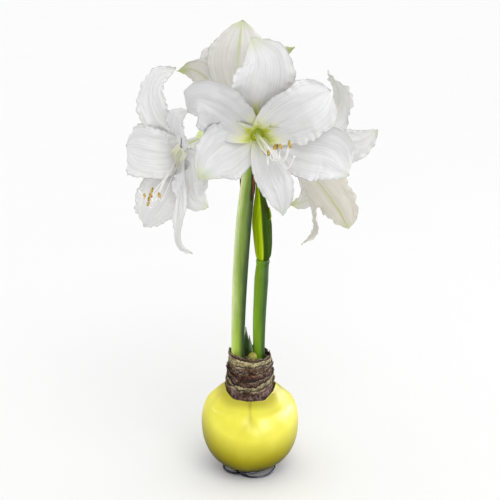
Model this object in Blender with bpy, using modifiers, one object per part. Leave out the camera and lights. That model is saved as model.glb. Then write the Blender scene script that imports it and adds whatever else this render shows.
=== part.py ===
"""A waxed amaryllis bulb in flower, standing on a small bent wire stand."""

import math

import bmesh
import bpy
from mathutils import Vector

# All sizes are in millimetres and become metres when a mesh is made.
MM = 0.001
GAP = 0.3

# Waxed bulb
WAX_RADIUS = 47.5
WAX_SQUARENESS = 2.25
WAX_CENTRE_Z = 49.0
WAX_RIM_Z = 91.0
WAX_THICKNESS = 2.2
BULB_RADIUS = WAX_RADIUS - WAX_THICKNESS - 2.0 * GAP
ROUND_STEPS = 32
EGG_ROWS = 11
SHOULDER_DIP = 6.0
FOLD_DEPTH = 1.6
FOLD_HALF_WIDTH = 7.0

# Neck of the bulb: outer radius and height of each papery scale's lower and upper edge
NECK_SCALES = [
    (22.4, 89.6, 23.4, 97.5),
    (22.5, 98.0, 22.4, 104.5),
    (21.6, 105.0, 21.2, 111.5),
    (20.5, 111.9, 20.2, 118.0),
    (19.8, 118.3, 20.3, 124.0),
]
NECK_RIM_Z = 124.0
NECK_WALL = 1.3
NECK_FLOOR_Z = 117.5
SOCKET_FLOOR_Z = 106.0
SOCKET_PLAY = 0.6
SCALE_DIP = 5.5
RIM_SLANT = 1.6

# Stalks: centre line and radius from the socket upward
FLOWER_STALK = [
    ((-11.6, -4.0, 106.3), 6.2),
    ((-11.6, -4.0, 126.0), 6.2),
    ((-10.0, -3.5, 165.0), 6.7),
    ((-7.9, -2.0, 207.0), 7.0),
    ((-5.2, -1.0, 252.0), 7.2),
    ((-3.2, 0.0, 277.0), 6.8),
    ((-1.0, 1.0, 298.0), 6.3),
    ((0.0, 2.0, 312.0), 7.4),
    ((0.0, 2.6, 320.0), 6.0),
]
BUD_STALK = [
    ((8.6, 1.5, 106.3), 5.6),
    ((8.6, 1.5, 126.0), 5.6),
    ((8.9, 2.0, 155.0), 6.2),
    ((10.7, 2.6, 195.0), 6.7),
    ((11.8, 3.0, 211.0), 5.9),
    ((12.0, 3.0, 213.0), 6.6),
    ((12.0, 3.0, 215.0), 6.4),
]
# Closed bud: centre x, centre y, height and half width
BUD = [
    (12.2, 3.0, 215.3, 5.6),
    (12.5, 3.2, 219.0, 7.2),
    (12.3, 3.8, 229.0, 8.4),
    (11.6, 4.8, 241.0, 9.0),
    (11.0, 5.2, 250.0, 9.1),
    (10.3, 5.0, 262.0, 7.7),
    (9.0, 4.2, 277.0, 4.4),
    (7.4, 2.0, 289.0, 1.9),
    (6.8, -0.6, 296.0, 0.8),
]
BUD_RIDGE = 0.16
BUD_SIDES = 16

# Short leaves between the stalks: points from root to tip, and half width
LEAVES = {
    "leaf_left": (
        [(-2.6, 5.6, 110.0), (-2.6, 5.6, 121.0), (-3.2, 5.4, 132.0), (-4.0, 5.0, 146.0)], 2.3,
    ),
    "leaf_right": (
        [(1.0, -4.6, 110.0), (1.0, -4.6, 120.0), (0.4, -4.4, 129.0), (-0.6, -4.0, 141.0)], 2.2,
    ),
}
LEAF_THICKNESS = 1.2

# Withered bracts hug the flower stalk: turn round the stalk, top and bottom height
BRACTS = {
    "withered_bract_front": (-42.0, 309.0, 277.0),
    "withered_bract_back": (140.0, 309.0, 284.0),
}
BRACT_HALF_WIDTH = 2.0
BRACT_THICKNESS = 0.8

# Wire stand: one closed wire of two turns and three lobes
WIRE_RADIUS = 0.95
STAND_RADIUS = 23.5
STAND_WAVE = 5.0
STAND_LIFT = 1.4
STAND_FIRST_LOBE = -75.0
STAND_POINTS = 54
STAND_SWAY = 50.0
FOOT_FLAT = 0.25

# Flowers
TEPAL_THICKNESS = 0.8
TEPAL_ROWS = 10
TEPAL_COLUMNS = 4
TUBE_LENGTH = 9.0
TUBE_BACK_RADIUS = 3.6
TUBE_FRONT_RADIUS = 5.4
OVARY_RADIUS = 4.6
PEDICEL_RADIUS = 3.1
ROOT_RADIUS = 4.3
ROOT_SINK = 2.5
THROAT_REACH = 11.0
THROAT_RADIUS = {"outer": 8.8, "inner": 7.4}

# A tepal is a row: whorl, guide points of its spine, half width, place of its widest
# stretch, skew to its left edge, the way its inner face looks where that isn't
# straight to the flower's axis, and the height of its edge waves
FLOWERS = {
    "front": {
        "centre": (5.0, -40.0, 344.5),
        "axis": (0.14, -0.98, -0.05),
        "tepals": [
            ("outer", [(3, -60, 368), (9, -74, 393), (11, -80, 413), (2, -76, 431)],
             27, 0.62, 0.0, None, 1.0),
            ("inner", [(17, -60, 360), (38, -70, 372), (54, -70, 380), (67, -64, 388)],
             23.5, 0.62, 0.0, None, 1.6),
            ("outer", [(22, -60, 342), (46, -70, 336), (68, -70, 331), (85, -58, 312)],
             24.5, 0.66, 0.0, None, 1.2),
            ("inner", [(9, -60, 330), (16, -74, 315), (22, -78, 298), (25, -74, 280)],
             15, 0.60, 0.0, None, 1.6),
            ("outer", [(-9, -62, 339), (-26, -76, 333), (-35, -82, 325), (-43, -82, 314)],
             21, 0.60, 0.1, None, 1.0),
            ("inner", [(-12, -62, 365), (-30, -76, 377), (-43, -80, 380), (-50, -74, 369)],
             19, 0.60, 0.0, (-0.3, -0.85, 0.45), 1.2),
        ],
        "anthers": [
            (15, -97, 340), (20, -100, 346), (25, -99, 346),
            (32, -96, 348), (12, -94, 334), (28, -92, 338),
        ],
        "stigma": (36, -102, 338),
        "sweep": (14, -70, 329),
    },
    "left": {
        "centre": (-54.0, -12.0, 327.0),
        "axis": (-0.72, -0.62, -0.30),
        "tepals": [
            ("outer", [(-71, -38, 347), (-80, -46, 362), (-84, -44, 379), (-67, -25, 398)],
             18.5, 0.50, 0.0, None, 1.4),
            ("inner", [(-71, -36, 325), (-84, -42, 323), (-95, -38, 331), (-111, -20, 345)],
             20.5, 0.50, 0.0, (0.2, -0.95, 0.1), 1.6),
            ("outer", [(-70, -34, 301), (-79, -38, 286), (-88, -36, 273), (-98, -26, 257)],
             20, 0.64, 0.0, (0.1, -0.85, 0.5), 1.8),
            ("inner", [(-59, -48, 303), (-60, -60, 285), (-63, -64, 264), (-55, -52, 238)],
             10, 0.55, 0.0, (-0.85, -0.5, 0.0), 1.4),
            ("outer", [(-52, -40, 315), (-51, -52, 302), (-47, -58, 291), (-35, -58, 285)],
             15, 0.60, 0.0, (-0.35, -0.9, 0.2), 1.8),
            ("inner", [(-61, -42, 341), (-63, -54, 355), (-61, -60, 364), (-52, -56, 368)],
             13, 0.60, 0.0, None, 1.6),
        ],
        "anthers": [
            (-91, -62, 294), (-84, -64, 300), (-85, -66, 296),
            (-87, -63, 292), (-88, -60, 287), (-78, -62, 295),
        ],
        "stigma": (-94, -68, 300),
        "sweep": (-72, -57, 312),
    },
    "back": {
        "centre": (-4.0, 24.0, 352.0),
        "axis": (-0.05, 0.62, 0.78),
        "tepals": [
            ("outer", [(-9, 18, 370), (-11, 10, 396), (-9, 10, 416), (-7, 20, 434)],
             28.5, 0.58, 0.0, None, 0.8),
            ("inner", [(10, 30, 372), (18, 33, 391), (21, 38, 405), (18, 46, 415)],
             20, 0.60, 0.0, None, 1.2),
            ("outer", [(17, 45, 366), (28, 58, 381), (34, 64, 393), (40, 62, 404)],
             19, 0.60, 0.0, None, 1.0),
            ("inner", [(-4, 55, 365), (-5, 76, 370), (-6, 92, 368), (-7, 104, 356)],
             17, 0.60, 0.0, None, 1.4),
            ("outer", [(-26, 30, 364), (-40, 36, 379), (-53, 38, 387), (-67, 36, 386)],
             18, 0.58, 0.0, (0.1, 0.8, 0.5), 1.0),
            ("inner", [(-22, 28, 372), (-31, 28, 390), (-31, 31, 406), (-22, 38, 420)],
             20, 0.60, 0.0, None, 1.2),
        ],
        "anthers": [
            (-12, 66, 412), (-6, 70, 414), (1, 68, 415),
            (7, 66, 411), (-2, 62, 418), (3, 60, 412),
        ],
        "stigma": (-4, 76, 418),
        "sweep": (-4, 50, 378),
    },
    "right": {
        "centre": (42.0, 18.0, 322.0),
        "axis": (0.80, 0.40, -0.45),
        "tepals": [
            ("outer", [(63, 30, 334), (80, 32, 349), (82, 32, 367), (71, 26, 388)],
             23, 0.50, 0.0, None, 1.6),
            ("inner", [(66, 24, 320), (86, 20, 318), (101, 18, 323), (117, 18, 335)],
             16.5, 0.60, 0.0, (0.25, 0.9, 0.2), 1.6),
            ("outer", [(55, 16, 298), (70, 8, 279), (82, 6, 262), (92, 12, 242)],
             26, 0.60, 0.0, None, 1.2),
            ("inner", [(54, 26, 291), (61, 30, 262), (66, 32, 234), (50, 30, 221)],
             9, 0.55, 0.0, None, 1.4),
            ("outer", [(46, 30, 303), (47, 38, 284), (43, 42, 271), (36, 40, 261)],
             14, 0.55, 0.0, None, 1.0),
            ("inner", [(60, 46, 330), (72, 66, 338), (80, 80, 344), (92, 90, 340)],
             19, 0.60, 0.0, None, 1.6),
        ],
        "anthers": [
            (97, 50, 300), (101, 54, 298), (104, 50, 296),
            (96, 56, 296), (100, 46, 294), (93, 48, 294),
        ],
        "stigma": (108, 58, 300),
        "sweep": (70, 36, 298),
    },
}
FILAMENT_RADIUS = 0.5
FILAMENT_SPREAD = 1.8
FILAMENT_POINTS = 6
ANTHER_RADIUS = 1.0
ANTHER_LENGTH = 5.0
STAMEN_BASE_RADIUS = 2.6

COLOURS = {
    "wire_stand": ((0.05, 0.05, 0.07), 0.4, 1.0),
    "wax_coat": ((0.87, 0.80, 0.10), 0.25, 0.0),
    "bulb": ((0.17, 0.10, 0.07), 0.8, 0.0),
    "flower_stalk": ((0.36, 0.52, 0.18), 0.5, 0.0),
    "bud_stalk": ((0.22, 0.42, 0.03), 0.5, 0.0),
    "bud_sheath": ((0.25, 0.48, 0.02), 0.45, 0.0),
    "leaf": ((0.03, 0.09, 0.02), 0.5, 0.0),
    "withered_bract": ((0.20, 0.10, 0.05), 0.85, 0.0),
    "bloom": ((0.88, 0.88, 0.84), 0.55, 0.0),
    "stamens": ((0.80, 0.62, 0.25), 0.6, 0.0),
}


def clear_scene():
    """Remove every object that the file opened with."""
    for item in list(bpy.data.objects):
        bpy.data.objects.remove(item, do_unlink=True)


def new_collection(name):
    """A collection of the scene."""
    group = bpy.data.collections.new(name)
    bpy.context.scene.collection.children.link(group)
    return group


def material(kind):
    """The Principled material of one kind of sub-part."""
    found = bpy.data.materials.get(kind)
    if found:
        return found
    colour, roughness, metallic = COLOURS[kind]
    made = bpy.data.materials.new(kind)
    made.use_nodes = True
    shader = made.node_tree.nodes["Principled BSDF"]
    shader.inputs["Base Color"].default_value = (*colour, 1.0)
    shader.inputs["Roughness"].default_value = roughness
    shader.inputs["Metallic"].default_value = metallic
    return made


def add_object(name, data, group):
    """Link a mesh or curve into a collection as a named object."""
    made = bpy.data.objects.new(name, data)
    group.objects.link(made)
    return made


def finish(item, kind, smooth_angle=40.0):
    """Give a piece its material and shading."""
    item.data.materials.clear()
    item.data.materials.append(material(kind))
    item.data.shade_smooth()
    item.data.set_sharp_from_angle(angle=math.radians(smooth_angle))


def baked(item, group):
    """Replace an object by the plain mesh that its modifiers or its curve make."""
    bpy.context.view_layer.update()
    graph = bpy.context.evaluated_depsgraph_get()
    mesh = bpy.data.meshes.new_from_object(item.evaluated_get(graph), depsgraph=graph)
    name = item.name
    place = item.matrix_world.copy()
    bpy.data.objects.remove(item, do_unlink=True)
    work = bmesh.new()
    work.from_mesh(mesh)
    bmesh.ops.remove_doubles(work, verts=work.verts, dist=1e-7)
    bmesh.ops.dissolve_degenerate(work, edges=work.edges, dist=1e-7)
    work.to_mesh(mesh)
    work.free()
    made = add_object(name, mesh, group)
    made.matrix_world = place
    return made


def largest_body(item):
    """Keep the largest connected body of a mesh, without scraps or sealed hollows."""
    work = bmesh.new()
    work.from_mesh(item.data)
    bmesh.ops.remove_doubles(work, verts=work.verts, dist=1e-7)
    bmesh.ops.dissolve_degenerate(work, edges=work.edges, dist=1e-7)
    bmesh.ops.triangulate(work, faces=work.faces)
    unseen = set(work.faces)
    bodies = []
    while unseen:
        reached = [unseen.pop()]
        body = []
        while reached:
            face = reached.pop()
            body.append(face)
            for edge in face.edges:
                for beside in edge.link_faces:
                    if beside in unseen:
                        unseen.remove(beside)
                        reached.append(beside)
        bodies.append(body)
    bodies.sort(key=len)
    for body in bodies[:-1]:
        bmesh.ops.delete(work, geom=body, context="FACES")
    loose = [point for point in work.verts if not point.link_faces]
    bmesh.ops.delete(work, geom=loose, context="VERTS")
    work.to_mesh(item.data)
    work.free()


def joined(base, others, group):
    """Union other objects into a base object and remove them."""
    helpers = new_collection("pieces_to_join")
    for other in others:
        for holder in list(other.users_collection):
            holder.objects.unlink(other)
        helpers.objects.link(other)
    union = base.modifiers.new("join", "BOOLEAN")
    union.operation = "UNION"
    union.operand_type = "COLLECTION"
    union.collection = helpers
    union.solver = "MANIFOLD"
    made = baked(base, group)
    for other in others:
        bpy.data.objects.remove(other, do_unlink=True)
    bpy.data.collections.remove(helpers)
    largest_body(made)
    return made


def cut(item, cutter, group):
    """Subtract a cutter from an object and remove the cutter."""
    hole = item.modifiers.new("cut", "BOOLEAN")
    hole.operation = "DIFFERENCE"
    hole.object = cutter
    made = baked(item, group)
    bpy.data.objects.remove(cutter, do_unlink=True)
    largest_body(made)
    return made


def smooth_path(points, count):
    """Evenly spaced points on a smooth curve through the given points."""
    knots = [Vector(point) for point in points]
    knots = [2 * knots[0] - knots[1]] + knots + [2 * knots[-1] - knots[-2]]
    fine = []
    steps = 16
    for index in range(1, len(knots) - 2):
        a, b, c, d = knots[index - 1:index + 3]
        for step in range(steps):
            t = step / steps
            fine.append(
                0.5 * (2 * b + (c - a) * t + (2 * a - 5 * b + 4 * c - d) * t * t
                       + (3 * b - a - 3 * c + d) * t ** 3)
            )
    fine.append(knots[-2])
    lengths = [0.0]
    for first, second in zip(fine, fine[1:]):
        lengths.append(lengths[-1] + (second - first).length)
    result = []
    place = 0
    for index in range(count):
        target = lengths[-1] * index / (count - 1)
        while place < len(fine) - 2 and lengths[place + 1] < target:
            place += 1
        span = lengths[place + 1] - lengths[place]
        result.append(fine[place].lerp(fine[place + 1], (target - lengths[place]) / span))
    return result


def smooth_step(value, low, high):
    """A soft rise from 0 to 1 between two values."""
    t = min(max((value - low) / (high - low), 0.0), 1.0)
    return t * t * (3 - 2 * t)


def tube(name, path, radii, group, sides=2, closed=False):
    """A curve with a round section, as a mesh with its caps welded."""
    curve = bpy.data.curves.new(name, "CURVE")
    curve.dimensions = "3D"
    curve.bevel_depth = MM
    curve.bevel_resolution = sides
    curve.use_fill_caps = not closed
    spline = curve.splines.new("POLY")
    spline.points.add(len(path) - 1)
    for knot, point, radius in zip(spline.points, path, radii):
        knot.co = (*(Vector(point) * MM), 1.0)
        knot.radius = radius
    spline.use_cyclic_u = closed
    return baked(add_object(name, curve, group), group)


def turned(name, profile, group, steps=ROUND_STEPS):
    """A profile of radius and height, given from its top down, turned round the z axis."""
    mesh = bpy.data.meshes.new(name)
    points = [(radius * MM, 0.0, height * MM) for radius, height in profile]
    mesh.from_pydata(points, [(i, i + 1) for i in range(len(points) - 1)], [])
    item = add_object(name, mesh, group)
    screw = item.modifiers.new("turn", "SCREW")
    screw.steps = steps
    screw.render_steps = steps
    screw.use_merge_vertices = True
    screw.merge_threshold = 0.00001
    return baked(item, group)


def front_share(x, y):
    """1 straight in front of the bulb's axis, 0 at its sides and back."""
    radius = math.hypot(x, y)
    if radius < 1e-9:
        return 0.0
    return max(0.0, -y / radius) ** 1.5


def lower_front(mesh, radius):
    """Lower the shoulder in front and press the soft upright fold into it."""
    for vertex in mesh.vertices:
        x, y, z = vertex.co / MM
        share = front_share(x, y)
        level = WAX_CENTRE_Z + (z - WAX_CENTRE_Z) * WAX_RADIUS / radius
        rise = min(max((level - WAX_CENTRE_Z) / (WAX_RIM_Z - WAX_CENTRE_Z), 0.0), 1.0)
        fade = 1.0 - smooth_step(z, WAX_RIM_Z + 4.0, NECK_RIM_Z - 6.0)
        drop = SHOULDER_DIP * share * rise ** 2 * fade
        fold = 0.0
        if y < 0 and level < WAX_RIM_Z + 2.0:
            fold = FOLD_DEPTH * math.exp(-((x / FOLD_HALF_WIDTH) ** 2)) * smooth_step(level, 55.0, 80.0)
        vertex.co.y += fold * MM
        vertex.co.z -= drop * MM


def egg_profile(radius):
    """Outer points of the bulb's squarish round from its shoulder down to its base pole."""
    power = 2.0 / WAX_SQUARENESS
    start = math.asin(((WAX_RIM_Z - WAX_CENTRE_Z) / WAX_RADIUS) ** (1.0 / power))
    points = []
    for index in range(EGG_ROWS):
        angle = start - (start + math.pi / 2) * index / (EGG_ROWS - 1)
        height = WAX_CENTRE_Z + radius * math.copysign(abs(math.sin(angle)) ** power, math.sin(angle))
        across = radius * max(math.cos(angle), 0.0) ** power
        points.append((across if index < EGG_ROWS - 1 else 0.0, height))
    return points


def make_wax_coat(group):
    """Yellow wax skin: an open shell over the round of the bulb."""
    shell = turned("wax_coat", egg_profile(WAX_RADIUS), group)
    lower_front(shell.data, WAX_RADIUS)
    wall = shell.modifiers.new("wall", "SOLIDIFY")
    wall.thickness = WAX_THICKNESS * MM
    wall.offset = -1.0
    wall.use_even_offset = True
    shell = baked(shell, group)
    finish(shell, "wax_coat")


def make_bulb(group):
    """The grown bulb: body, layered papery neck, recess and sockets for what stands in it."""
    profile = [(0.0, NECK_FLOOR_Z), (18.0, NECK_FLOOR_Z), (NECK_SCALES[-1][2] - NECK_WALL, NECK_RIM_Z)]
    for low_radius, low_z, high_radius, high_z in reversed(NECK_SCALES):
        profile.append((high_radius, high_z))
        profile.append((low_radius, low_z))
    profile += egg_profile(BULB_RADIUS)
    bulb = turned("bulb", profile, group)
    for vertex in bulb.data.vertices:
        x, y, z = vertex.co / MM
        turn = math.atan2(y, x)
        share = front_share(x, y)
        on_wall = math.hypot(x, y) > 18.5
        if on_wall and z > NECK_SCALES[0][1] + 1.0:
            middle = smooth_step(z, 91.0, 99.0) * (1.0 - smooth_step(z, 110.0, 121.0))
            vertex.co.z -= SCALE_DIP * MM * share * middle
            torn = 0.7 * math.sin(3 * turn + 0.6) + 0.5 * math.sin(7 * turn + z)
            vertex.co.z += torn * MM * smooth_step(z, 92.0, 98.0)
            vertex.co.z -= RIM_SLANT * MM * (1.0 + x / NECK_SCALES[-1][2]) * smooth_step(z, 110.0, 122.0)
            puff = 1.0 + 0.012 * math.sin(5 * turn + 0.4 * z)
            vertex.co.x *= puff
            vertex.co.y *= puff
    lower_front(bulb.data, BULB_RADIUS)
    sockets = []
    for path in (FLOWER_STALK, BUD_STALK):
        (foot, radius), (rim, _) = path[0], path[1]
        line = [(foot[0], foot[1], SOCKET_FLOOR_Z), (rim[0], rim[1], NECK_RIM_Z + 8.0)]
        sockets.append(tube("socket", line, [radius + SOCKET_PLAY] * 2, group, sides=4))
    for spine, half_width in LEAVES.values():
        root = Vector(spine[0])
        line = [root - Vector((0, 0, GAP)), root + Vector((0, 0, 20.0))]
        sockets.append(tube("socket", line, [half_width + SOCKET_PLAY] * 2, group, sides=3))
    for socket in sockets:
        bulb = cut(bulb, socket, group)
    dome = [(0.0, 127.2), (2.4, 126.4), (4.0, 124.0), (4.3, 121.0), (4.3, 114.5), (0.0, 114.5)]
    stub = turned("stub", dome, group, steps=12)
    stub.location = (2.2 * MM, -12.0 * MM, 0.0)
    bulb = joined(bulb, [stub], group)
    finish(bulb, "bulb", 55.0)


def make_wire_stand(group):
    """One closed wire of two turns whose three lobes rest on the surface."""
    path = []
    for index in range(STAND_POINTS):
        angle = 4 * math.pi * index / STAND_POINTS
        wave = math.cos(1.5 * angle)
        sway = math.cos(1.5 * angle + math.radians(STAND_SWAY))
        radius = STAND_RADIUS + STAND_WAVE * wave
        height = WIRE_RADIUS - FOOT_FLAT + STAND_LIFT * (1.0 - sway)
        turn = angle + math.radians(STAND_FIRST_LOBE - 90.0)
        path.append((radius * math.cos(turn), radius * math.sin(turn), height))
    wire = tube("wire_stand", path, [WIRE_RADIUS] * STAND_POINTS, group, sides=2, closed=True)
    bpy.ops.mesh.primitive_cube_add(size=100 * MM, location=(0, 0, -50 * MM))
    floor = bpy.context.object
    wire = cut(wire, floor, group)
    finish(wire, "wire_stand")


def make_flower_stalk(group):
    """Stalk with the four flower stems and ovaries grown on its top."""
    centre_line = smooth_path([point for point, _ in FLOWER_STALK], 15)
    heights = [point[2] for point, _ in FLOWER_STALK]
    widths = [radius for _, radius in FLOWER_STALK]
    radii = [radius_at(point.z, heights, widths) for point in centre_line]
    stalk = tube("flower_stalk", centre_line, radii, group, sides=4)
    stems = []
    top = Vector((0.0, 2.4, 315.0))
    for flower in FLOWERS.values():
        axis = Vector(flower["axis"]).normalized()
        end = Vector(flower["centre"]) - (TUBE_LENGTH + GAP) * axis
        middle = end - 15.0 * axis
        path = smooth_path([top, middle, end - 3.0 * axis], 8) + [end]
        swell = [PEDICEL_RADIUS] * 5 + [3.5, OVARY_RADIUS, OVARY_RADIUS, TUBE_BACK_RADIUS]
        stems.append(tube("flower_stem", path, swell, group, sides=2))
    stalk = joined(stalk, stems, group)
    finish(stalk, "flower_stalk")


def radius_at(height, heights, radii):
    """Radius at a height, read between the given heights."""
    for low, high, first, second in zip(heights, heights[1:], radii, radii[1:]):
        if height <= high:
            return first + (second - first) * max(0.0, (height - low) / (high - low))
    return radii[-1]


def make_bud_stalk(group):
    """Second stalk, with the small lip under its bud."""
    heights = [point[2] for point, _ in BUD_STALK]
    centre_line = [Vector(BUD_STALK[0][0])] + smooth_path([point for point, _ in BUD_STALK[1:5]], 8)
    centre_line += [Vector(BUD_STALK[5][0]), Vector(BUD_STALK[6][0])]
    widths = [radius for _, radius in BUD_STALK]
    radii = [radius_at(point.z, heights, widths) for point in centre_line]
    stalk = tube("bud_stalk", centre_line, radii, group, sides=4)
    finish(stalk, "bud_stalk")


def make_bud_sheath(group):
    """Closed bud in its sheath, with an upright ridge in front and one behind."""
    profile = [(0.0, BUD[-1][2] + 0.8)]
    profile += [(half_width, height) for _, _, height, half_width in reversed(BUD)]
    profile.append((0.0, BUD[0][2]))
    bud = turned("bud_sheath", profile, group, steps=BUD_SIDES)
    heights = [row[2] for row in BUD]
    for vertex in bud.data.vertices:
        x, y, z = vertex.co / MM
        turn = math.atan2(y, x)
        ridge = 1.0 + BUD_RIDGE * (abs(math.sin(turn)) ** 6 - 0.5 * abs(math.sin(2 * turn)))
        centre_x = radius_at(z, heights, [row[0] for row in BUD])
        centre_y = radius_at(z, heights, [row[1] for row in BUD])
        vertex.co = Vector((centre_x + x * ridge, centre_y + y * ridge * 0.92, z)) * MM
    finish(bud, "bud_sheath")


def blade(name, rows, thickness, group):
    """A thin blade over rows of points, split alike on both faces."""
    mesh = bpy.data.meshes.new(name)
    columns = len(rows[0])
    points = [point * MM for row in rows for point in row]
    faces = []
    for row in range(len(rows) - 1):
        for column in range(columns - 1):
            corner = row * columns + column
            beside = corner + 1
            above = corner + columns
            faces.append((corner, beside, above + 1))
            faces.append((corner, above + 1, above))
    mesh.from_pydata(points, [], faces)
    item = add_object(name, mesh, group)
    wall = item.modifiers.new("thickness", "SOLIDIFY")
    wall.thickness = thickness * MM
    wall.offset = 0.0
    return baked(item, group)


def make_leaf(name, spine, half_width, group):
    """A short blunt leaf standing in its socket."""
    path = smooth_path(spine, 8)
    rows = []
    for index, point in enumerate(path):
        share = index / (len(path) - 1)
        width = half_width * (1.0 - 0.85 * smooth_step(share, 0.55, 1.0))
        row = []
        for across in (-1.0, -0.4, 0.4, 1.0):
            row.append(point + Vector((across * width, 0.18 * width * across * across, 0.0)))
        rows.append(row)
    leaf = blade(name, rows, LEAF_THICKNESS, group)
    finish(leaf, "leaf")


def make_bract(name, turn, top_z, low_z, group):
    """A dry strip lying against the flower stalk."""
    heights = [point[2] for point, _ in FLOWER_STALK]
    rows = []
    count = 8
    for index in range(count):
        share = index / (count - 1)
        z = top_z + (low_z - top_z) * share
        centre = [radius_at(z, heights, [point[side] for point, _ in FLOWER_STALK]) for side in (0, 1)]
        radius = radius_at(z, heights, [width for _, width in FLOWER_STALK])
        away = radius + BRACT_THICKNESS * 0.5 + 1.6 * GAP + 0.8 * math.sin(math.pi * share)
        half = BRACT_HALF_WIDTH * (1.0 - 0.75 * share ** 2)
        row = []
        for across in (-1, 0, 1):
            angle = math.radians(turn) + across * half / away
            x = centre[0] + away * math.cos(angle)
            y = centre[1] + away * math.sin(angle)
            row.append(Vector((x, y, z)))
        rows.append(row)
    bract = blade(name, rows, BRACT_THICKNESS, group)
    finish(bract, "withered_bract")


def tepal_rows(flower, tepal):
    """Rows of points of one tepal's middle surface, from its root to its tip."""
    whorl, guides, half_width, widest, skew, facing, wave = tepal
    centre = Vector(flower["centre"])
    axis = Vector(flower["axis"]).normalized()
    out = Vector(guides[2]) - centre
    radial = (out - out.dot(axis) * axis).normalized()
    root = centre - ROOT_SINK * axis + ROOT_RADIUS * radial
    throat = centre + THROAT_REACH * axis + THROAT_RADIUS[whorl] * radial
    path = smooth_path([root, throat] + guides, TEPAL_ROWS)
    rows = []
    for index, point in enumerate(path):
        share = index / (TEPAL_ROWS - 1)
        before = path[max(index - 1, 0)]
        after = path[min(index + 1, TEPAL_ROWS - 1)]
        along = (after - before).normalized()
        side = axis.cross(radial)
        if facing:
            side = side.lerp(Vector(facing).cross(along).normalized(), smooth_step(share, 0.12, 0.45))
        side = (side - side.dot(along) * along).normalized()
        face = along.cross(side)
        if share < widest:
            width = 0.15 + 0.85 * math.sin(0.5 * math.pi * share / widest) ** 1.25
        else:
            width = (1.0 - ((share - widest) / (1.0 - widest)) ** 2.1) ** 0.72
        width = max(width * half_width, 0.7)
        hollow = 1.0 / 9.0 + (0.014 - 1.0 / 9.0) * smooth_step(share, 0.08, 0.42)
        ripple = wave * smooth_step(share, 0.25, 0.6)
        row = []
        for column in range(TEPAL_COLUMNS + 1):
            across = 2.0 * column / TEPAL_COLUMNS - 1.0
            reach = width * across * (1.0 + skew * across)
            lift = (1.0 - math.cos(hollow * reach)) / hollow
            spread = math.sin(hollow * reach) / hollow
            lift += ripple * abs(across) ** 3 * math.sin(17.0 * share + 2.2 * across + half_width)
            row.append(point + spread * side + lift * face)
        rows.append(row)
    return rows


def make_bloom(name, flower, group):
    """One flower: six tepals grown together into a short tube."""
    axis = Vector(flower["axis"]).normalized()
    centre = Vector(flower["centre"])
    length = TUBE_LENGTH * MM
    bpy.ops.mesh.primitive_cone_add(
        vertices=16,
        radius1=TUBE_BACK_RADIUS * MM,
        radius2=TUBE_FRONT_RADIUS * MM,
        depth=length,
        location=(centre - 0.5 * TUBE_LENGTH * axis) * MM,
        rotation=axis.to_track_quat("Z", "Y").to_euler(),
    )
    base = bpy.context.object
    base.name = name
    blades = []
    for tepal in flower["tepals"]:
        blades.append(blade("tepal", tepal_rows(flower, tepal), TEPAL_THICKNESS, group))
    bloom = joined(base, blades, group)
    finish(bloom, "bloom")


def make_stamens(name, flower, group):
    """Six stamens and the style, grown from one small base in the throat."""
    axis = Vector(flower["axis"]).normalized()
    centre = Vector(flower["centre"])
    turn = axis.to_track_quat("Z", "Y")
    bpy.ops.mesh.primitive_cylinder_add(
        vertices=12, radius=STAMEN_BASE_RADIUS * MM, depth=1.2 * MM,
        location=(centre + (GAP + 0.6) * axis) * MM, rotation=turn.to_euler(),
    )
    base = bpy.context.object
    base.name = name
    pieces = []
    sweep = Vector(flower["sweep"])
    ends = [Vector(point) for point in flower["anthers"]] + [Vector(flower["stigma"])]
    for index, end in enumerate(ends):
        angle = 2 * math.pi * index / len(ends)
        around = Vector((math.cos(angle), math.sin(angle), 0.0))
        offset = turn @ (FILAMENT_SPREAD * around)
        start = centre + (GAP + 0.5) * axis + offset
        low = sweep.lerp(end, 0.55) + Vector((0.0, 0.0, -6.0))
        path = smooth_path([start, start + 8.0 * axis, sweep + offset, low, end], FILAMENT_POINTS)
        pieces.append(tube("filament", path, [FILAMENT_RADIUS] * FILAMENT_POINTS, group, sides=0))
        if index < len(ends) - 1:
            bpy.ops.mesh.primitive_ico_sphere_add(
                subdivisions=1, radius=ANTHER_RADIUS * MM, location=end * MM,
            )
            anther = bpy.context.object
            anther.scale = (1.0, 1.0, 0.5 * ANTHER_LENGTH / ANTHER_RADIUS)
            anther.rotation_euler = (0.5 * math.sin(index), 0.4 * math.cos(2 * index), 0.0)
            pieces.append(baked(anther, group))
        else:
            bpy.ops.mesh.primitive_ico_sphere_add(subdivisions=1, radius=1.1 * MM, location=end * MM)
            pieces.append(baked(bpy.context.object, group))
    stamens = joined(base, pieces, group)
    finish(stamens, "stamens")


def centre_on_origin(group):
    """Shift every piece so that the whole plant's box is centred over the origin."""
    bpy.context.view_layer.update()
    corners = []
    for item in group.objects:
        item.data.transform(item.matrix_world)
        item.matrix_world.identity()
        corners += [vertex.co.copy() for vertex in item.data.vertices]
    middle_x = 0.5 * (min(c.x for c in corners) + max(c.x for c in corners))
    middle_y = 0.5 * (min(c.y for c in corners) + max(c.y for c in corners))
    for item in group.objects:
        for vertex in item.data.vertices:
            vertex.co.x -= middle_x
            vertex.co.y -= middle_y


def build():
    """Model the whole plant."""
    clear_scene()
    plant = new_collection("waxed_amaryllis_bulb")
    make_wire_stand(plant)
    make_wax_coat(plant)
    make_bulb(plant)
    make_flower_stalk(plant)
    make_bud_stalk(plant)
    make_bud_sheath(plant)
    for name, (spine, half_width) in LEAVES.items():
        make_leaf(name, spine, half_width, plant)
    for name, (turn, top_z, low_z) in BRACTS.items():
        make_bract(name, turn, top_z, low_z, plant)
    for side, flower in FLOWERS.items():
        make_bloom("bloom_" + side, flower, plant)
        make_stamens("stamens_" + side, flower, plant)
    centre_on_origin(plant)


build()
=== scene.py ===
import math

import bpy
import numpy as np
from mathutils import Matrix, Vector, noise


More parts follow.
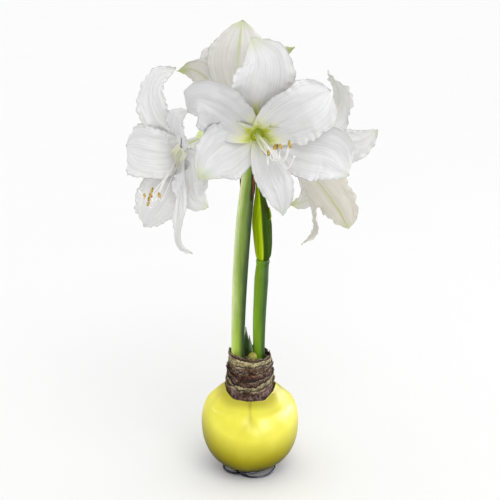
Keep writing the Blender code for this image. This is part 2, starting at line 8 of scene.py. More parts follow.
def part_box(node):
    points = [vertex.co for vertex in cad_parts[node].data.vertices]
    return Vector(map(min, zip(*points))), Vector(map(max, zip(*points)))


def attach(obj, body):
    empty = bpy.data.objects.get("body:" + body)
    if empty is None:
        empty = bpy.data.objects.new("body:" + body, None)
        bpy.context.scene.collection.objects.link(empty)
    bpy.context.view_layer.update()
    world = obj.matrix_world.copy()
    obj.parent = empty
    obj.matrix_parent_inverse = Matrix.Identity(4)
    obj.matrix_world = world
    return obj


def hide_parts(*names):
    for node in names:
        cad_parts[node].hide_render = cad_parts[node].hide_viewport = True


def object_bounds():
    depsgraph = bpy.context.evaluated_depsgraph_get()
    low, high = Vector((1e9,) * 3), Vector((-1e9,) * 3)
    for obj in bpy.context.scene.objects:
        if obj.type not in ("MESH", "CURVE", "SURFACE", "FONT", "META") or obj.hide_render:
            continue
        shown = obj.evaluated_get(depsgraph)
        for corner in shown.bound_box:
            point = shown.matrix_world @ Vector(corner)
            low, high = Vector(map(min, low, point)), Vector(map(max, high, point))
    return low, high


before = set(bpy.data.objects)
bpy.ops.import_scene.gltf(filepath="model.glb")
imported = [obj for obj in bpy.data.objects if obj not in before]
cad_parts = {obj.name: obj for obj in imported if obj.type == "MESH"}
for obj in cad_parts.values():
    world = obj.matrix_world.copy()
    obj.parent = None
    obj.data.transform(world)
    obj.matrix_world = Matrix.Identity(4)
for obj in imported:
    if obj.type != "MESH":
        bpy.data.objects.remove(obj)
cad_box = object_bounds()

# Place of the plant. Every shape below is given in millimetres from the upright axis of
# the waxed bulb, on the surface that it stands on.
MILLIMETRE = 0.001
wax_low, wax_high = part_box("wax_coat")
plant_axis = np.array([wax_low[0] + wax_high[0], wax_low[1] + wax_high[1], 0.0]) * 0.5 / MILLIMETRE


def to_metres(points):
    """Points in millimetres from the bulb's axis, as places in the scene."""
    return (np.asarray(points, dtype=float) + plant_axis) * MILLIMETRE


# Camera and studio: a long lens a little above the plant, a pale floor, an even white
# surround, one broad light from above in front, and soft panels that show in the wax.
CAMERA_PLACE = (0.0, -1000.0, 550.0)
CAMERA_DIP = 18.0
FLOOR_SIZE = 24.0
camera_data = bpy.data.cameras.new("camera")
camera_data.sensor_width = 36.0
camera_data.lens = 81.3
camera = bpy.data.objects.new("camera", camera_data)
bpy.context.scene.collection.objects.link(camera)
camera.location = to_metres(CAMERA_PLACE)
camera.rotation_euler = (math.radians(90.0 - CAMERA_DIP), 0.0, 0.0)
bpy.context.scene.camera = camera

surround = bpy.data.worlds.new("surround")
surround.use_nodes = True
surround.node_tree.nodes["Background"].inputs["Color"].default_value = (1.0, 1.0, 1.0, 1.0)
surround.node_tree.nodes["Background"].inputs["Strength"].default_value = 0.8
bpy.context.scene.world = surround
bpy.context.scene.view_settings.view_transform = "Standard"

sun_data = bpy.data.lights.new("broad_light", "SUN")
sun_data.energy = 0.9
sun_data.angle = math.radians(40.0)
sun = bpy.data.objects.new("broad_light", sun_data)
bpy.context.scene.collection.objects.link(sun)
sun.rotation_euler = Vector((0.22, -0.62, 0.88)).to_track_quat("Z", "Y").to_euler()


def soft_panel(name, direction, distance, width, height, power):
    """A soft panel that looks at the bulb from a direction and shows only where things shine."""
    data = bpy.data.lights.new(name, "AREA")
    data.shape = "RECTANGLE"
    data.size = width
    data.size_y = height
    data.energy = power
    panel = bpy.data.objects.new(name, data)
    bpy.context.scene.collection.objects.link(panel)
    towards = Vector(direction).normalized()
    panel.location = Vector(to_metres((0.0, 0.0, 60.0))) + distance * towards
    panel.rotation_euler = towards.to_track_quat("Z", "Y").to_euler()
    panel.visible_diffuse = False


soft_panel("window_panel", (0.477, -0.871, 0.14), 1.1, 0.72, 1.05, 38.0)
soft_panel("right_panel", (0.92, 0.20, 0.34), 1.2, 1.2, 1.1, 60.0)
soft_panel("left_panel", (-0.78, 0.30, 0.50), 1.3, 0.25, 0.3, 3.0)


def surface(name):
    """A new material with its node tree and its shader."""
    made = bpy.data.materials.new(name)
    made.use_nodes = True
    return made, made.node_tree, made.node_tree.nodes["Principled BSDF"]


def node(tree, kind, inputs=None, **settings):
    """Add a shader node, set its options, and set or link its inputs."""
    made = tree.nodes.new(kind)
    for key, value in settings.items():
        setattr(made, key, value)
    for key, value in (inputs or {}).items():
        if isinstance(value, bpy.types.NodeSocket):
            tree.links.new(value, made.inputs[key])
        else:
            made.inputs[key].default_value = value
    return made


def coloured(tree, share, first, second):
    """The first colour where the share is 0 and the second where it is 1."""
    mix = node(tree, "ShaderNodeMix", {0: share, 6: first, 7: second}, data_type="RGBA")
    return mix.outputs[2]


def on_object(tree, scale=(1.0, 1.0, 1.0)):
    """The piece's own coordinates, stretched."""
    place = node(tree, "ShaderNodeTexCoord").outputs["Object"]
    return node(tree, "ShaderNodeMapping", {"Vector": place, "Scale": scale}).outputs["Vector"]


def speckle(tree, vector, scale, detail=4.0, roughness=0.5):
    """Soft noise between 0 and 1."""
    inputs = {"Vector": vector, "Scale": scale, "Detail": detail, "Roughness": roughness}
    return node(tree, "ShaderNodeTexNoise", inputs).outputs["Fac"]


def finished(tree, shader, tone, roughness, shine=0.5):
    """Give a material its colour, its roughness and the strength of its shine."""
    tree.links.new(tone, shader.inputs["Base Color"])
    for key, value in (("Roughness", roughness), ("Specular IOR Level", shine)):
        if isinstance(value, bpy.types.NodeSocket):
            tree.links.new(value, shader.inputs[key])
        else:
            shader.inputs[key].default_value = value


floor_material, tree, shader = surface("floor")
tone = speckle(tree, on_object(tree), 6.0)
tone = coloured(tree, tone, (0.94, 0.94, 0.94, 1.0), (0.96, 0.96, 0.96, 1.0))
finished(tree, shader, tone, 0.9, 0.1)
bpy.ops.mesh.primitive_grid_add(x_subdivisions=2, y_subdivisions=2, size=FLOOR_SIZE, location=(0.0, 0.0, 0.0))
floor = bpy.context.object
floor.name = "floor"
floor.data.materials.append(floor_material)


# Wire stand: one closed loop of steel wire, bent through two turns into three lobes,
# lacquered dark. It rests on the low spots of its lobes, and the wax rests on it.
WIRE_RADIUS = 0.95
WIRE_SIDES = 16
STAND_POINTS = 360
STAND_RADIUS = 22.3
LOBE_REACH = 4.2
LOBE_RISE = 1.4
# How far the low spots of the lobes are pressed flat where they stand
FLAT_DEPTH = 0.25


def paint(code):
    """A colour written as six hexadecimal digits, as the shader's linear values."""
    values = [int(code[i:i + 2], 16) / 255.0 for i in (0, 2, 4)]
    return (*[v / 12.92 if v <= 0.04045 else ((v + 0.055) / 1.055) ** 2.4 for v in values], 1.0)


def ranged(tree, value, low, high, out_low=0.0, out_high=1.0):
    """A value moved from one range to another and kept inside it."""
    inputs = {"Value": value, "From Min": low, "From Max": high, "To Min": out_low, "To Max": out_high}
    return node(tree, "ShaderNodeMapRange", inputs).outputs["Result"]


def raised(tree, shader, height, strength, distance):
    """Fine relief on a surface."""
    inputs = {"Height": height, "Strength": strength, "Distance": distance}
    tree.links.new(node(tree, "ShaderNodeBump", inputs).outputs["Normal"], shader.inputs["Normal"])


def product(tree, first, second):
    """Two values multiplied."""
    return node(tree, "ShaderNodeMath", {0: first, 1: second}, operation="MULTIPLY").outputs[0]


def swept_wires(name, paths, radii, sides, finish):
    """Round wires along rows of points, made by a node tree and turned into a plain mesh.

    paths holds (points, closed) and radii the radius at each point, in millimetres."""
    points = np.concatenate([path for path, _ in paths])
    edges = []
    start = 0
    for path, closed in paths:
        count = len(path)
        edges += [(start + i, start + i + 1) for i in range(count - 1)]
        if closed:
            edges.append((start + count - 1, start))
        start += count
    mesh = bpy.data.meshes.new(name)
    mesh.from_pydata([tuple(p) for p in to_metres(points)], edges, [])
    thickness = mesh.attributes.new("thickness", "FLOAT", "POINT")
    thickness.data.foreach_set("value", np.concatenate(radii) * MILLIMETRE)
    item = bpy.data.objects.new(name, mesh)
    bpy.context.scene.collection.objects.link(item)
    tree = bpy.data.node_groups.new(name + "_sweep", "GeometryNodeTree")
    tree.interface.new_socket("Geometry", in_out="INPUT", socket_type="NodeSocketGeometry")
    side_count = tree.interface.new_socket("Sides", in_out="INPUT", socket_type="NodeSocketInt")
    thickness_scale = tree.interface.new_socket("Thickness", in_out="INPUT", socket_type="NodeSocketFloat")
    tree.interface.new_socket("Geometry", in_out="OUTPUT", socket_type="NodeSocketGeometry")
    entry = tree.nodes.new("NodeGroupInput")
    leave = tree.nodes.new("NodeGroupOutput")
    line = node(tree, "GeometryNodeMeshToCurve", {"Mesh": entry.outputs["Geometry"]})
    carried = node(tree, "GeometryNodeInputNamedAttribute", {"Name": "thickness"}, data_type="FLOAT")
    scaled = product(tree, carried.outputs["Attribute"], entry.outputs["Thickness"])
    widened = node(tree, "GeometryNodeSetCurveRadius", {"Curve": line.outputs["Curve"], "Radius": scaled})
    ring = node(tree, "GeometryNodeCurvePrimitiveCircle", {
        "Resolution": entry.outputs["Sides"], "Radius": 1.0,
    })
    swept = node(tree, "GeometryNodeCurveToMesh", {
        "Curve": widened.outputs["Curve"], "Profile Curve": ring.outputs["Curve"], "Fill Caps": True,
    })
    if "Scale" in swept.inputs:
        tree.links.new(scaled, swept.inputs["Scale"])
    whole = node(tree, "GeometryNodeRealizeInstances", {"Geometry": swept.outputs["Mesh"]})
    dressed = node(tree, "GeometryNodeSetMaterial", {
        "Geometry": whole.outputs["Geometry"], "Material": finish,
    })
    tree.links.new(dressed.outputs["Geometry"], leave.inputs["Geometry"])
    modifier = item.modifiers.new("sweep", "NODES")
    modifier.node_group = tree
    modifier[side_count.identifier] = sides
    modifier[thickness_scale.identifier] = 1.0
    return plain(item, name)


def plain(item, name):
    """The mesh that an object's modifiers make, as an object of its own."""
    bpy.context.view_layer.update()
    graph = bpy.context.evaluated_depsgraph_get()
    mesh = bpy.data.meshes.new_from_object(item.evaluated_get(graph), depsgraph=graph)
    bpy.data.objects.remove(item, do_unlink=True)
    made = bpy.data.objects.new(name, mesh)
    bpy.context.scene.collection.objects.link(made)
    mesh.shade_smooth()
    return made


wire_material, tree, shader = surface("dark_lacquered_steel")
mottle = speckle(tree, on_object(tree), 260.0)
tone = coloured(tree, mottle, paint("1d1e28"), paint("33343f"))
finished(tree, shader, tone, ranged(tree, mottle, 0.3, 0.7, 0.3, 0.45))
shader.inputs["Metallic"].default_value = 0.6
raised(tree, shader, mottle, 0.15, 0.0001)

loop = []
for index in range(STAND_POINTS):
    angle = 4.0 * math.pi * index / STAND_POINTS
    radius = STAND_RADIUS + LOBE_REACH * math.cos(1.5 * angle)
    rise = LOBE_RISE * (1.0 - math.cos(1.5 * angle + math.radians(50.0)))
    turn = angle - math.radians(165.0)
    loop.append((radius * math.cos(turn), radius * math.sin(turn), WIRE_RADIUS - FLAT_DEPTH + rise))
wire_stand = swept_wires("bent_wire_stand", [(np.array(loop), True)], [np.full(STAND_POINTS, WIRE_RADIUS)],
                         WIRE_SIDES, wire_material)
for vertex in wire_stand.data.vertices:
    vertex.co.z = max(vertex.co.z, 0.0)
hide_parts("wire_stand")
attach(wire_stand, "root")


# Wax coat: the bulb was dipped in warm yellow wax, which set as one glossy skin a little
# over 2 mm thick with a soft rolled lip round the neck and a shallow fold in front.
WAX_RADIUS = 47.5
WAX_SQUARENESS = 2.25
WAX_CENTRE_Z = 49.0
WAX_RIM_Z = 91.0
WAX_THICKNESS = 2.2
WAX_STEPS = 160
OUTER_ROWS = 90
INNER_ROWS = 60
LIP_ROWS = 9
# How far the shoulder hangs lower in front, and the depth and width of the fold there
FRONT_DROP = 6.0
FOLD_DEPTH = 1.6
FOLD_WIDTH = 7.0
# Where the fine crease in front forks into two legs, and how steeply they part
FORK_Z = 74.0
FORK_SLOPE = 0.55


def own(tree, name):
    """A value that the piece's points carry."""
    return node(tree, "ShaderNodeAttribute", attribute_name=name).outputs["Fac"]


def let_light_in(shader, share, depths, size):
    """Light that goes into a material: how much, how deep in each colour, and the size of that depth."""
    shader.inputs["Subsurface Weight"].default_value = share
    shader.inputs["Subsurface Radius"].default_value = depths
    shader.inputs["Subsurface Scale"].default_value = size


def bell(value, width):
    """1 at zero, and softly down to 0 on both sides."""
    return np.exp(-((value / width) ** 2))


def smooth_step(value, low, high):
    """A soft rise from 0 to 1 between two values."""
    t = np.clip((value - low) / (high - low), 0.0, 1.0)
    return t * t * (3.0 - 2.0 * t)


def soft_noise(x, y, z):
    """Smooth noise about zero at a point."""
    return noise.noise(Vector((x, y, z)))


def make_piece(name, points, faces, values, finish):
    """A smooth shaded mesh in the scene, whose points carry named values."""
    mesh = bpy.data.meshes.new(name)
    mesh.from_pydata([tuple(p) for p in to_metres(points)], [], [tuple(int(i) for i in f) for f in faces])
    for key, row in values.items():
        mesh.attributes.new(key, "FLOAT", "POINT").data.foreach_set("value", np.asarray(row, dtype=float))
    mesh.materials.append(finish)
    mesh.shade_smooth()
    mesh.validate()
    made = bpy.data.objects.new(name, mesh)
    bpy.context.scene.collection.objects.link(made)
    return made


def round_rows(profile, steps):
    """Points and faces of a profile of (radius, height), turned round the axis from pole to pole."""
    turns = 2.0 * math.pi * np.arange(steps) / steps
    points = []
    for radius, height in profile[1:-1]:
        points += [(radius * math.cos(t), radius * math.sin(t), height) for t in turns]
    rows = len(profile) - 2
    faces = []
    for row in range(rows - 1):
        for step in range(steps):
            beside = (step + 1) % steps
            faces.append((row * steps + step, row * steps + beside,
                          (row + 1) * steps + beside, (row + 1) * steps + step))
    low = len(points)
    points.append((0.0, 0.0, profile[0][1]))
    points.append((0.0, 0.0, profile[-1][1]))
    for step in range(steps):
        beside = (step + 1) % steps
        faces.append((low, beside, step))
        faces.append((low + 1, (rows - 1) * steps + step, (rows - 1) * steps + beside))
    return np.array(points), faces


def egg_rows(radius, count):
    """Points of the squarish round from its base pole up to the shoulder."""
    power = 2.0 / WAX_SQUARENESS
    top = math.asin(((WAX_RIM_Z - WAX_CENTRE_Z) / WAX_RADIUS) ** (1.0 / power))
    rows = []
    for index in range(count):
        angle = -math.pi / 2 + (top + math.pi / 2) * index / (count - 1)
        height = WAX_CENTRE_Z + radius * math.copysign(abs(math.sin(angle)) ** power, math.sin(angle))
        rows.append((radius * max(math.cos(angle), 0.0) ** power if index else 0.0, height))
    return rows


def front_share(x, y):
    """1 straight in front of the bulb's axis, 0 at its sides and back."""
    radius = math.hypot(x, y)
    return max(0.0, -y / radius) ** 1.5 if radius > 1e-9 else 0.0


def settled(points, radius):
    """The turned round with its shoulder lowered in front and the soft fold pressed in."""
    moved = np.array(points, dtype=float)
    for place in moved:
        x, y, z = place
        level = WAX_CENTRE_Z + (z - WAX_CENTRE_Z) * WAX_RADIUS / radius
        rise = min(max((level - WAX_CENTRE_Z) / (WAX_RIM_Z - WAX_CENTRE_Z), 0.0), 1.0)
        fade = 1.0 - smooth_step(z, WAX_RIM_Z + 4.0, 118.0)
        if y < 0 and level < WAX_RIM_Z + 2.0:
            place[1] += FOLD_DEPTH * bell(x, FOLD_WIDTH) * smooth_step(level, 55.0, 80.0)
        place[2] -= FRONT_DROP * front_share(x, y) * rise ** 2 * fade
    return moved


wax_material, tree, shader = surface("yellow_wax")
cloud = speckle(tree, on_object(tree), 34.0, 3.0)
# Painted shade from the low value: darker olive towards the foot and the sides
shade = product(tree, own(tree, "low"), ranged(tree, cloud, 0.3, 0.7, 0.92, 1.08))
tone = coloured(tree, ranged(tree, cloud, 0.35, 0.65), paint("f4ec54"), paint("e8df44"))
# Painted shade from the lip value: dark olive towards the rim, on the inside of the lip and along the front
# crease
tone = coloured(tree, own(tree, "lip"), tone, paint("8c8214"))
tone = coloured(tree, ranged(tree, shade, 0.0, 0.5), tone, paint("a89e10"))
tone = coloured(tree, ranged(tree, shade, 0.5, 1.0), tone, paint("2a2600"))
finished(tree, shader, tone, 0.37, ranged(tree, shade, 0.1, 0.7, 0.5, 0.06))
shader.inputs["IOR"].default_value = 1.34
let_light_in(shader, 0.18, (1.0, 0.75, 0.12), 0.004)
raised(tree, shader, speckle(tree, on_object(tree), 75.0, 2.0), 0.25, 0.0012)

outer_rows = egg_rows(WAX_RADIUS, OUTER_ROWS)
inner_rows = egg_rows(WAX_RADIUS - WAX_THICKNESS, INNER_ROWS)
(out_r, out_z), (in_r, in_z) = outer_rows[-1], inner_rows[-1]
lip = []
for index in range(1, LIP_ROWS):
    bow = math.pi * index / LIP_ROWS
    share = 0.5 - 0.5 * math.cos(bow)
    lip.append((out_r + (in_r - out_r) * share - 0.25 * math.sin(bow),
                out_z + (in_z - out_z) * share + math.sin(bow)))
wax_points, wax_faces = round_rows(outer_rows + lip + inner_rows[::-1], WAX_STEPS)
# Painted shade near the rim round the neck and on the inside of the lip
painted_rim_and_crease_shade = np.where(wax_points[:, 2] > WAX_RIM_Z, 0.7,
                     0.55 * smooth_step(wax_points[:, 2], WAX_RIM_Z - 9.0, WAX_RIM_Z))
wax_points = settled(wax_points, WAX_RADIUS)
for index, place in enumerate(wax_points):
    x, y, z = place
    radius = math.hypot(x, y)
    if radius < 1e-6 or z < 3.0:
        continue
    turn = math.atan2(y, x)
    near_rim = smooth_step(z, 70.0, 84.0)
    in_front = front_share(x, y)
    # The skin is uneven all over and scalloped towards the rim
    swell = 0.35 * soft_noise(x / 22.0, y / 22.0, z / 22.0) * smooth_step(z, 3.0, 20.0)
    swell += near_rim * (0.35 * math.sin(5.0 * turn + 0.8) + 0.3 * math.sin(11.0 * turn)) - 0.3
    if y < 0.0:
        crease = bell(x + 0.03 * (z - 80.0), 1.5) * smooth_step(z, 56.0, FORK_Z)
        legs = bell(abs(x) - FORK_SLOPE * (FORK_Z - z), 3.2) * (z < FORK_Z)
        crease += 0.4 * legs * smooth_step(z, 48.0, 66.0)
        swell -= 0.9 * crease
        # Painted shade along the front crease
        painted_rim_and_crease_shade[index] = min(0.75, painted_rim_and_crease_shade[index] + 0.3 * crease)
    place[0] += swell * x / radius
    place[1] += swell * y / radius
    # The rim is wavy and hangs lower in front, and the shoulder is lower at the sides and behind
    place[2] += near_rim * (0.55 * math.sin(4.0 * turn + 1.9) + 0.35 * math.sin(9.0 * turn + 0.5) - 2.4)
    place[2] -= 2.6 * near_rim * in_front
    place[2] -= 2.2 * (1.0 - in_front) * bell(radius - 34.0, 9.0) * smooth_step(z, 55.0, 80.0)
# Painted shade that deepens towards the foot and the sides
painted_side_shade = (wax_points[:, 0] / WAX_RADIUS) ** 2 * np.where(wax_points[:, 0] < 0.0, 20.0, 10.0)
painted_foot_shade = np.clip((51.0 - wax_points[:, 2] + painted_side_shade) / 44.0, 0.0, 1.0)
wax_coat = make_piece("wax_skin", wax_points, wax_faces, {"lip": painted_rim_and_crease_shade, "low": painted_foot_shade}, wax_material)
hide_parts("wax_coat")
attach(wax_coat, "root")


# Bulb: one grown bulb. Its round body is inside the wax, and its neck of dry papery
# scales, each wrapped round the next and torn along its upper edge, stands out on top.

# Scales from the outermost in: height of the top edge, radius, how cream-coloured, how lilac,
# how deeply torn, and how far the edge stands away.
NECK_SCALES = [
    (96.5, 23.0, 0.05, 0.9, 2.2, 0.7),
    (101.3, 22.4, 0.62, 0.3, 2.4, 0.8),
    (105.8, 21.7, 0.05, 0.4, 3.0, 1.3),
    (110.2, 21.1, 0.00, 0.1, 3.2, 1.5),
    (115.2, 20.6, 0.15, 0.7, 2.4, 1.2),
    (121.8, 20.0, 0.90, 0.1, 1.4, 0.5),
    (124.0, 19.4, 0.10, 0.2, 3.4, 0.6),
]
# How much paler each scale is along its torn edge
EDGE_SHARES = (0.9, 0.7, 0.3, 0.5, 1.0, 0.5, 0.6)
NECK_RIM_RADIUS = 20.3
NECK_FOOT_Z = 78.0
NECK_ROWS = 22
NECK_COLUMNS = 220
SCALE_THICKNESS = 0.55
# How far each scale reaches down behind the edge of the one outside it
SCALE_OVERLAP = 7.0
# The solid heart of the bulb from its shoulder up to its cut top: (radius, height)
HEART_SIDE = [
    (32.0, 72.0), (25.0, 77.0), (21.4, 81.0), (21.0, 88.0), (20.6, 96.0), (19.9, 104.0), (19.1, 112.0),
    (18.6, 117.6),
]
# The pale stub of a cut inner scale: its (radius, height), and where it stands
STUB = [
    (0.0, 114.0), (4.2, 114.2), (4.45, 118.0), (4.5, 121.0), (4.3, 123.4), (3.7, 125.3), (2.6, 126.6),
    (1.3, 127.1), (0.0, 127.2),
]
STUB_PLACE = (2.2, -12.0, -0.8)


def slab(grid, thickness, wrapped=False, edge_share=0.5):
    """A closed sheet round a grid of points: points, faces, and each point's row, column and side."""
    rows, columns = grid.shape[:2]
    if wrapped:
        across = np.roll(grid, -1, axis=1) - np.roll(grid, 1, axis=1)
    else:
        across = np.gradient(grid, axis=1)
    along = np.gradient(grid, axis=0)
    normal = np.cross(across, along)
    normal /= np.maximum(np.linalg.norm(normal, axis=2, keepdims=True), 1e-9)
    u = np.zeros(columns) if wrapped else np.linspace(-1.0, 1.0, columns)
    v = np.linspace(0.0, 1.0, rows)
    taper = 1.0 - edge_share * np.maximum(np.abs(u)[None, :] ** 8, smooth_step(v, 0.9, 1.0)[:, None])
    half = 0.5 * thickness * taper[:, :, None]
    points = np.concatenate([(grid + half * normal).reshape(-1, 3), (grid - half * normal).reshape(-1, 3)])
    count = rows * columns
    faces = []
    last = columns if wrapped else columns - 1
    for row in range(rows - 1):
        for column in range(last):
            a = row * columns + column
            b = row * columns + (column + 1) % columns
            c, d = b + columns, a + columns
            faces.append((a, b, c, d))
            faces.append((count + d, count + c, count + b, count + a))
    top = (rows - 1) * columns
    for column in range(last):
        a, b = column, (column + 1) % columns
        faces.append((count + a, count + b, b, a))
        faces.append((top + a, top + b, count + top + b, count + top + a))
    if not wrapped:
        for row in range(rows - 1):
            a, b = row * columns, (row + 1) * columns
            faces.append((a, b, count + b, count + a))
            a, b = a + columns - 1, b + columns - 1
            faces.append((count + a, count + b, b, a))
    row_of = np.tile(np.repeat(v, columns), 2)
    column_of = np.tile(np.tile(u, rows), 2)
    side_of = np.repeat([0.0, 1.0], count)
    return points, faces, row_of, column_of, side_of


def gathered(parts):
    """Several closed shells as one: (points, faces, values) each, with the same named values."""
    points, faces, start = [], [], 0
    values = {key: [] for key in parts[0][2]}
    for shell_points, shell_faces, shell_values in parts:
        points.append(shell_points)
        faces += [tuple(start + i for i in face) for face in shell_faces]
        for key in values:
            values[key].append(np.broadcast_to(shell_values[key], (len(shell_points),)))
        start += len(shell_points)
    return np.concatenate(points), faces, {key: np.concatenate(row) for key, row in values.items()}


scale_material, tree, shader = surface("papery_bulb_scales")
streaks = speckle(tree, on_object(tree, (1.0, 1.0, 0.7)), 300.0, 6.0, 0.75)
bands = speckle(tree, on_object(tree, (0.35, 0.35, 1.6)), 330.0, 5.0, 0.7)
patches = speckle(tree, on_object(tree), 95.0, 3.0)
brown = coloured(tree, ranged(tree, streaks, 0.42, 0.6), paint("160603"), paint("6c3f2a"))
brown = coloured(tree, ranged(tree, bands, 0.5, 0.58), brown, paint("1c0b08"))
brown = coloured(tree, ranged(tree, bands, 0.42, 0.36, 0.0, 0.8), brown, paint("c0a884"))
violet = coloured(tree, ranged(tree, streaks, 0.42, 0.62), paint("341a18"), paint("a08488"))
straw = coloured(tree, ranged(tree, streaks, 0.4, 0.6), paint("6a5c30"), paint("d6cc9c"))
straw = coloured(tree, ranged(tree, bands, 0.52, 0.66), straw, paint("54402c"))
pith = coloured(tree, ranged(tree, patches, 0.35, 0.6), paint("8e8f3a"), paint("b9ae56"))
lilac_share = product(tree, own(tree, "lilac"), ranged(tree, patches, 0.4, 0.6))
cream_share = product(tree, own(tree, "cream"), ranged(tree, patches, 0.25, 0.45, 0.55, 1.0))
edge_share = product(tree, own(tree, "edge"), ranged(tree, patches, 0.42, 0.6))
# Painted shade: near black just above the torn edge of the scale outside, and a little over the heart
painted_gap_shade_share = product(tree, own(tree, "painted_gap_shade"), ranged(tree, patches, 0.3, 0.5, 0.35, 1.0))
tone = coloured(tree, lilac_share, brown, violet)
tone = coloured(tree, cream_share, tone, straw)
tone = coloured(tree, edge_share, tone, paint("c2b294"))
tone = coloured(tree, painted_gap_shade_share, tone, paint("140806"))
tone = coloured(tree, own(tree, "flesh"), tone, pith)
finished(tree, shader, tone, 0.7, 0.12)
relief = node(tree, "ShaderNodeMath", {0: streaks, 1: bands}, operation="ADD").outputs[0]
raised(tree, shader, relief, 0.8, 0.0009)

bulb_parts = []
tops = np.zeros((len(NECK_SCALES), NECK_COLUMNS))
for number, (top_z, radius, cream_amount, lilac_amount, torn, away) in enumerate(NECK_SCALES):
    low_z = NECK_SCALES[number - 1][0] - SCALE_OVERLAP if number else NECK_FOOT_Z
    grid = np.zeros((NECK_ROWS, NECK_COLUMNS, 3))
    painted_gap_shade = np.zeros((NECK_ROWS, NECK_COLUMNS))
    for column in range(NECK_COLUMNS):
        turn = 2.0 * math.pi * column / NECK_COLUMNS
        x, y = math.cos(turn), math.sin(turn)
        rough = soft_noise(3.1 * x + number, 3.1 * y, number * 1.7)
        rough += 0.5 * soft_noise(9.0 * x, 9.0 * y + number, number * 2.3)
        rough += 0.5 * soft_noise(24.0 * x, 24.0 * y, number * 3.1)
        rough += 0.4 * soft_noise(60.0 * x, 60.0 * y, number * 4.3)
        rise = torn * rough
        # The second and third scale hang lower in front and slope to one side each
        if number in (1, 2):
            rise += 3.4 * (0.45 - front_share(x, y)) + 1.2 * x * (3 - 2 * number)
        # The upper scales slope down to the right
        rise -= 1.6 * (1.0 + x) * smooth_step(top_z, 110.0, 122.0)
        tops[number, column] = top_z + rise
        for row in range(NECK_ROWS):
            share = row / (NECK_ROWS - 1)
            z = low_z + (top_z + rise - low_z) * share
            crease = 0.35 * soft_noise(7.0 * x, 7.0 * y, z / 5.0 + 9.0 * number)
            crease += 0.22 * soft_noise(2.5 * x, 2.5 * y, z / 1.6 + number)
            crease += 0.12 * soft_noise(30.0 * x, 30.0 * y, z / 12.0)
            flare = away * smooth_step(share, 0.7, 1.0) * (0.6 + rough)
            reach = radius * (1.0 + 0.012 * math.sin(5.0 * turn + 0.4 * z)) + 1.3 * crease + flare
            # The outermost scales are pressed in where they meet the wax
            if z < 96.0:
                reach -= 0.75 * smooth_step(-z, -95.0, -88.0)
            grid[row, column] = (reach * x, reach * y, z)
            if number:
                # Painted shade in the narrow gap just above the top edge of the scale outside this one
                painted_gap_shade[row, column] = bell(z - tops[number - 1, column] - 0.2, 0.9)
    points, faces, row_of, _, _ = slab(grid, SCALE_THICKNESS, wrapped=True)
    bulb_parts.append((settled(points, WAX_RADIUS), faces, {
        "cream": cream_amount, "lilac": lilac_amount, "flesh": 0.0, "painted_gap_shade": np.tile(painted_gap_shade.ravel(), 2),
        "edge": EDGE_SHARES[number] * smooth_step(row_of, 0.9, 0.985),
    }))
heart_radius = WAX_RADIUS - WAX_THICKNESS - 0.6
heart = [(r * 0.93, z - 1.0) for r, z in egg_rows(heart_radius, 40) if z < 68.0] + HEART_SIDE
# The cut top shows the rings of the inner scales
top_radius, top_z = HEART_SIDE[-1]
for ring in range(9):
    heart.append((top_radius - 0.6 - 2.0 * ring, top_z - 0.9 * (ring % 2) - 0.12 * ring))
heart.append((0.0, top_z - 1.0))
points, faces = round_rows(heart, 96)
tilt = 1.6 * (1.0 + points[:, 0] / NECK_RIM_RADIUS) * smooth_step(points[:, 2], 110.0, 122.0)
points = settled(points, heart_radius)
points[:, 2] -= tilt
# The heart is darkened a little all over by the same painted shade
bulb_parts.append((points, faces, {"cream": 0.25, "lilac": 0.0, "edge": 0.0, "flesh": 0.0, "painted_gap_shade": 0.3}))
points, faces = round_rows(STUB, 40)
wobble = np.array([0.25 * soft_noise(*(point / 3.0)) for point in points])
points = points + wobble[:, None] + np.array(STUB_PLACE)
bulb_parts.append((points, faces, {"cream": 0.0, "lilac": 0.0, "edge": 0.0, "flesh": 1.0, "painted_gap_shade": 0.0}))
points, faces, values = gathered(bulb_parts)
bulb = make_piece("grown_bulb", points, faces, values, scale_material)
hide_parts("bulb")
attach(bulb, "root")


# Short leaves: two young dark green leaves that stand in the neck between the stalks,
# each a narrow channelled blade with a blunt tip.
LEAVES = {
    "leaf_left": ([(-2.6, 5.6, 110.0), (-2.6, 5.6, 121.0), (-3.2, 5.4, 132.0), (-4.0, 5.0, 146.0)], 2.3),
    "leaf_right": ([(1.0, -4.6, 110.0), (1.0, -4.6, 120.0), (0.4, -4.4, 129.0), (-0.6, -4.0, 141.0)], 2.2),
}
LEAF_ROWS = 40
LEAF_COLUMNS = 13
LEAF_THICKNESS = 1.1


def smooth_path(points, count):
    """Evenly spaced points on a smooth curve through the given points."""
    knots = [np.array(point, dtype=float) for point in points]
    knots = [2 * knots[0] - knots[1]] + knots + [2 * knots[-1] - knots[-2]]
    fine = []
    for index in range(1, len(knots) - 2):
        a, b, c, d = knots[index - 1:index + 3]
        for t in np.arange(32) / 32.0:
            fine.append(0.5 * (2 * b + (c - a) * t + (2 * a - 5 * b + 4 * c - d) * t * t
                               + (3 * b - a - 3 * c + d) * t ** 3))
    fine = np.array(fine + [knots[-2]])
    lengths = np.concatenate([[0.0], np.cumsum(np.linalg.norm(np.diff(fine, axis=0), axis=1))])
    places = np.linspace(0.0, lengths[-1], count)
    return np.stack([np.interp(places, lengths, fine[:, side]) for side in range(3)], axis=1)


